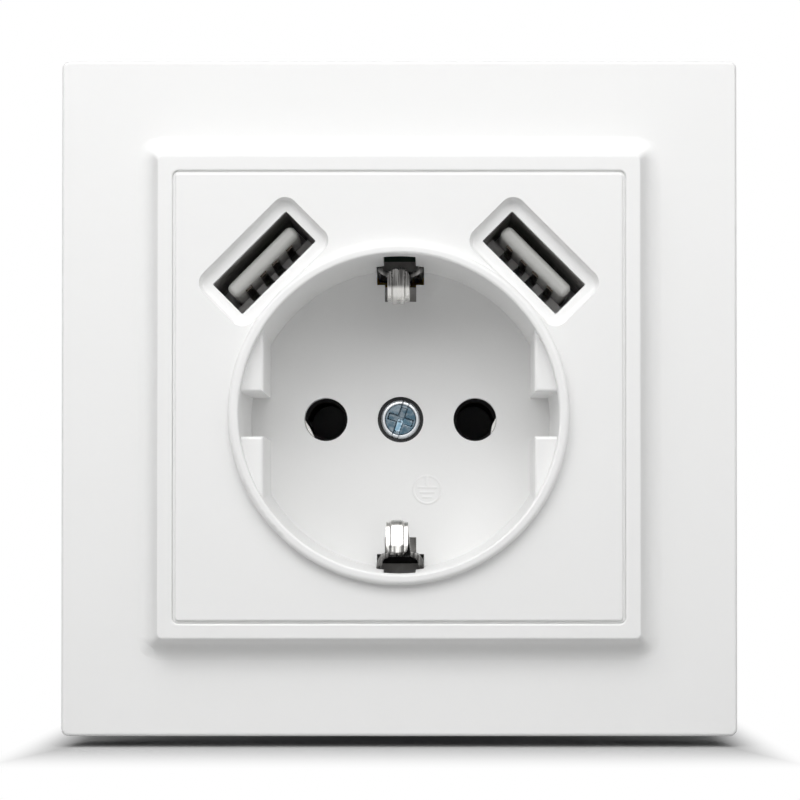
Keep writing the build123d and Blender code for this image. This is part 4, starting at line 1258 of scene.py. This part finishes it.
class SOCKET_OT_port_tongues(bpy.types.Operator):
    """Make the rounded tongues in the ports and the slotted blocks under them"""

    bl_idname = "socket.port_tongues"
    bl_label = "Port tongues"

    def execute(self, context):
        sizes = context.scene.socket_port
        for name, side in (("left", -1), ("right", 1)):
            low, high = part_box(f"{name}_usb_shell")
            axis = (low + high) / 2
            axis.y = 0
            turn = Matrix.Rotation(sizes.turn * side, 4, "Y")
            tongue = tongue_mesh(sizes, low.y + sizes.set_back, high.y)
            comb = comb_mesh(sizes, high.y)
            for mesh in (tongue, comb):
                mesh.transform(Matrix.Translation(axis) @ turn)
            publish(f"{name}_usb_tongue", tongue, "port_plastic", "socket", [f"{name}_usb_insulator"])
            # The slotted block gets the white finish rather than the tongue's grey: painted light that lifts
            # the shaded back of the port.
            publish(f"{name}_usb_comb", comb, "port_plastic", "socket", look="white_plastic")
        return {"FINISHED"}


@cache
def rib_row_tree():
    """Geometry tree that repeats a rib with a step along X and a turn about Y."""
    inputs = [
        ("Count", "NodeSocketInt", 4),
        ("Step", "NodeSocketFloat", 0.0),
        ("Turn", "NodeSocketFloat", 0.0),
    ]
    tree, given, out = geometry_tree("Rib Row", inputs)
    index = tree.nodes.new("GeometryNodeInputIndex").outputs["Index"]
    step = calculation(tree, "MULTIPLY", index, given["Step"])
    along = add_node(tree, "ShaderNodeCombineXYZ", {"X": step}).outputs["Vector"]
    turn = calculation(tree, "MULTIPLY", index, given["Turn"])
    about = add_node(tree, "ShaderNodeCombineXYZ", {"Y": turn}).outputs["Vector"]
    points = add_node(tree, "GeometryNodePoints", {"Count": given["Count"], "Position": along}).outputs[0]
    ribs = {"Points": points, "Instance": given["Geometry"], "Rotation": about}
    row = add_node(tree, "GeometryNodeInstanceOnPoints", ribs).outputs["Instances"]
    close_tree(tree, given, out, row)
    return tree


FRAME_SIDES = 4
ROUND_PROFILE = 0.5


def rib_mesh(low, high, edge):
    """Straight rib between two corners, with rounded edges."""
    shape = bmesh.new()
    bmesh.ops.create_cube(shape, size=1.0)
    bmesh.ops.scale(shape, verts=shape.verts, vec=high - low)
    bmesh.ops.translate(shape, verts=shape.verts, vec=(low + high) / 2)
    bmesh.ops.bevel(
        shape,
        geom=shape.edges[:],
        offset=edge,
        segments=EDGE_SEGMENTS,
        profile=ROUND_PROFILE,
        affect="EDGES",
    )
    return closed_mesh(shape, "rib")


def repeated(mesh, slot, count, step=0.0, turn=0.0):
    """Mesh repeated along X or about Y."""
    values = {"Count": count, "Step": step, "Turn": turn, "Material": finish(slot)}
    return grown(draft("rib_draft", mesh), rib_row_tree(), values)


def cap_ribs_mesh(sizes):
    """Cooling ribs along the round side of the cap."""
    radius = CAP_HIGH.z
    low = Vector((-sizes.cap_rib / 2, sizes.cap_front, radius - sizes.rib_sink))
    high = Vector((sizes.cap_rib / 2, CAP_HIGH.y - sizes.cap_back_gap, radius + sizes.cap_rise))
    rib = rib_mesh(low, high, sizes.rib_edge)
    rib.transform(Matrix.Rotation(-sizes.cap_reach, 4, "Y"))
    return repeated(rib, "grey_plastic", sizes.cap_count, turn=2 * sizes.cap_reach / (sizes.cap_count - 1))


def frame_ribs_mesh(sizes):
    """Stiffening ribs between the frame's outer wall and the mounting plate, on all four sides."""
    first = -sizes.frame_pitch * (sizes.frame_count - 1) / 2
    wall = FRAME_HIGH.z - sizes.frame_wall
    floor_y = sizes.frame_floor - sizes.rib_sink
    low = Vector((first - sizes.frame_rib / 2, floor_y, PLATE_HIGH.z + sizes.plate_gap))
    high = Vector((first + sizes.frame_rib / 2, sizes.frame_top, wall + sizes.rib_sink))
    rib = rib_mesh(low, high, sizes.rib_edge)
    row = repeated(rib, "white_plastic", sizes.frame_count, step=sizes.frame_pitch)
    return repeated(row, "white_plastic", FRAME_SIDES, turn=2 * pi / FRAME_SIDES)


class SOCKET_OT_rear_ribs(bpy.types.Operator):
    """Make the cooling ribs on the charger's cap and the stiffening ribs in the frame's back"""

    bl_idname = "socket.rear_ribs"
    bl_label = "Rear ribs"

    def execute(self, context):
        sizes = context.scene.socket_rear
        publish("cap_ribs", cap_ribs_mesh(sizes), "grey_plastic", "socket")
        publish("frame_ribs", frame_ribs_mesh(sizes), "white_plastic", "socket")
        return {"FINISHED"}


class SOCKET_OT_stage(bpy.types.Operator):
    """Set the floor, the lights and the camera"""

    bl_idname = "socket.stage"
    bl_label = "Stage"

    def execute(self, context):
        stage = context.scene.socket_stage
        lay_floor(stage)
        light_world()
        soft = (stage.soft_width, stage.soft_height)
        soft_light("key_light", stage.key_spot, soft, stage.key_power)
        soft_light("top_light", stage.top_spot, soft, stage.top_power)
        side = (stage.side_width, stage.side_height)
        right = Vector(stage.side_spot)
        soft_light("right_light", right, side, stage.right_power)
        soft_light("left_light", right * Vector((-1, 1, 1)), side, stage.left_power)
        set_camera(stage)
        context.scene.view_settings.view_transform = "Standard"
        return {"FINISHED"}


def lay_floor(stage):
    """Plain floor just below the frame's lower edge."""
    shape = bmesh.new()
    bmesh.ops.create_grid(shape, x_segments=1, y_segments=1, size=stage.floor_size / 2)
    mesh = bpy.data.meshes.new("floor")
    bmesh.ops.translate(shape, verts=shape.verts, vec=(0, 0, FRAME_LOW.z - stage.floor_gap))
    shape.to_mesh(mesh)
    shape.free()
    mesh.materials.append(floor_board(stage))
    draft("floor", mesh)


FLOOR_CLOUDS = 12.0
FLOOR_SHADE = 0.98
FLOOR_ROUGHNESS = 0.9


def painted_shadow_fade(tree, stage):
    """0 on the floor under the socket and near it, where the painted shadow lies, and 1 further out."""
    axes = object_axes(tree)
    beside = calculation(tree, "SUBTRACT", calculation(tree, "ABSOLUTE", axes["X"], 0), FRAME_HIGH.x)
    beside = calculation(tree, "MULTIPLY", beside, stage.side_fade)
    before = calculation(tree, "SUBTRACT", FRAME_LOW.y, axes["Y"])
    behind = calculation(tree, "SUBTRACT", axes["Y"], CAD_BOX[1][1])
    away = calculation(tree, "MAXIMUM", beside, calculation(tree, "MAXIMUM", before, behind))
    return stepped(tree, away, stage.fade_start, stage.fade_end)


def floor_board(stage):
    """Board that takes the socket's shadow, is seen grey near the socket as a painted shadow that fades into
    the white ground, and is clear from below.
    """
    material, tree, shader, skin = new_finish("floor_board", moulded_skin(), {"Cloud Scale": FLOOR_CLOUDS})
    tint = blended(tree, skin["Cloud"], stage.floor, shaded(stage.floor, FLOOR_SHADE))
    tree.links.new(tint, shader.inputs["Base Color"])
    shader.inputs["Roughness"].default_value = FLOOR_ROUGHNESS
    shader.inputs["Specular IOR Level"].default_value = 0.0
    fade = painted_shadow_fade(tree, stage)
    seen = seen_directly(tree)
    # Grey seen near the socket: painted shadow.
    grey = {"Color": (*[stage.painted_shadow_grey] * 3, 1)}
    white = add_node(tree, "ShaderNodeBsdfDiffuse", grey).outputs["BSDF"]
    ground = tree.nodes.new("ShaderNodeEmission").outputs["Emission"]
    near = mixed(tree, seen, shader.outputs["BSDF"], white)
    whole = mixed(tree, calculation(tree, "MULTIPLY", seen, fade), near, ground)
    clear = tree.nodes.new("ShaderNodeBsdfTransparent").outputs["BSDF"]
    whole = mixed(tree, seen_from_below(tree), whole, clear)
    tree.links.new(whole, tree.nodes["Material Output"].inputs["Surface"])
    return material


def seen_from_below(tree):
    """1 where the eye looks at the underside of the floor."""
    ray = tree.nodes.new("ShaderNodeLightPath")
    side = tree.nodes.new("ShaderNodeNewGeometry")
    return calculation(tree, "MULTIPLY", ray.outputs["Is Camera Ray"], side.outputs["Backfacing"])


def seen_directly(tree):
    """1 for the eye, for reflections and for what is seen through glass."""
    ray = tree.nodes.new("ShaderNodeLightPath")
    seen = calculation(tree, "MAXIMUM", ray.outputs["Is Camera Ray"], ray.outputs["Is Glossy Ray"])
    return calculation(tree, "MAXIMUM", seen, ray.outputs["Is Transmission Ray"])


def light_world():
    """White ground for the eye, for reflections and for glass, which gives no other light."""
    world = bpy.data.worlds.new("studio")
    world.use_nodes = True
    tree = world.node_tree
    tree.nodes.clear()
    white = {"Color": (1, 1, 1, 1), "Strength": seen_directly(tree)}
    ground = add_node(tree, "ShaderNodeBackground", white).outputs["Background"]
    add_node(tree, "ShaderNodeOutputWorld", {"Surface": ground})
    bpy.context.scene.world = world


def soft_light(name, spot, size, energy):
    """Soft light of a (width, height) that looks at the middle of the socket."""
    light = bpy.data.lights.new(name, "AREA")
    light.shape = "RECTANGLE"
    light.size, light.size_y = size
    light.energy = energy
    lamp = bpy.data.objects.new(name, light)
    lamp.location = spot
    lamp.rotation_euler = (-Vector(spot)).to_track_quat("-Z", "Y").to_euler()
    bpy.context.scene.collection.objects.link(lamp)


SENSOR_WIDTH = 36.0
CLIP_START = 10.0 * MM


def set_camera(stage):
    """Camera in front of the socket, below its middle."""
    data = bpy.data.cameras.new("camera")
    data.lens = stage.lens
    data.sensor_width = SENSOR_WIDTH
    data.shift_x, data.shift_y = stage.shift
    data.clip_start = CLIP_START
    camera = bpy.data.objects.new("camera", data)
    camera.location = stage.eye
    camera.rotation_euler = (FACING_FRONT + stage.rise, 0, 0)
    bpy.context.scene.collection.objects.link(camera)
    bpy.context.scene.camera = camera


class SOCKET_PT_pieces(bpy.types.Panel):
    """Lists the steps that dress the socket"""

    bl_idname = "SOCKET_PT_pieces"
    bl_label = "Socket pieces"
    bl_space_type = "VIEW_3D"
    bl_region_type = "UI"
    bl_category = "Socket"

    def draw(self, context):
        for step in STEPS:
            self.layout.operator(step.bl_idname)


STEPS = (
    SOCKET_OT_finishes,
    SOCKET_OT_earth_blades,
    SOCKET_OT_screws,
    SOCKET_OT_well_details,
    SOCKET_OT_port_tongues,
    SOCKET_OT_rear_ribs,
    SOCKET_OT_stage,
)
SETTINGS = {
    "socket_blade": SocketBladeSizes,
    "socket_screws": SocketScrewSizes,
    "socket_port": SocketPortSizes,
    "socket_well": SocketWellSizes,
    "socket_rear": SocketRearSizes,
    "socket_colours": SocketColours,
    "socket_stage": SocketStage,
}


def register():
    for cls in (*SETTINGS.values(), *STEPS, SOCKET_PT_pieces):
        bpy.utils.register_class(cls)
    for name, cls in SETTINGS.items():
        setattr(bpy.types.Scene, name, bpy.props.PointerProperty(type=cls))


def unregister():
    for name in SETTINGS:
        delattr(bpy.types.Scene, name)
    for cls in (*SETTINGS.values(), *STEPS, SOCKET_PT_pieces):
        bpy.utils.unregister_class(cls)


def main():
    """Dresses the socket."""
    register()
    for step in STEPS:
        getattr(bpy.ops.socket, step.bl_idname.split(".")[1])()


if __name__ == "__main__":
    main()
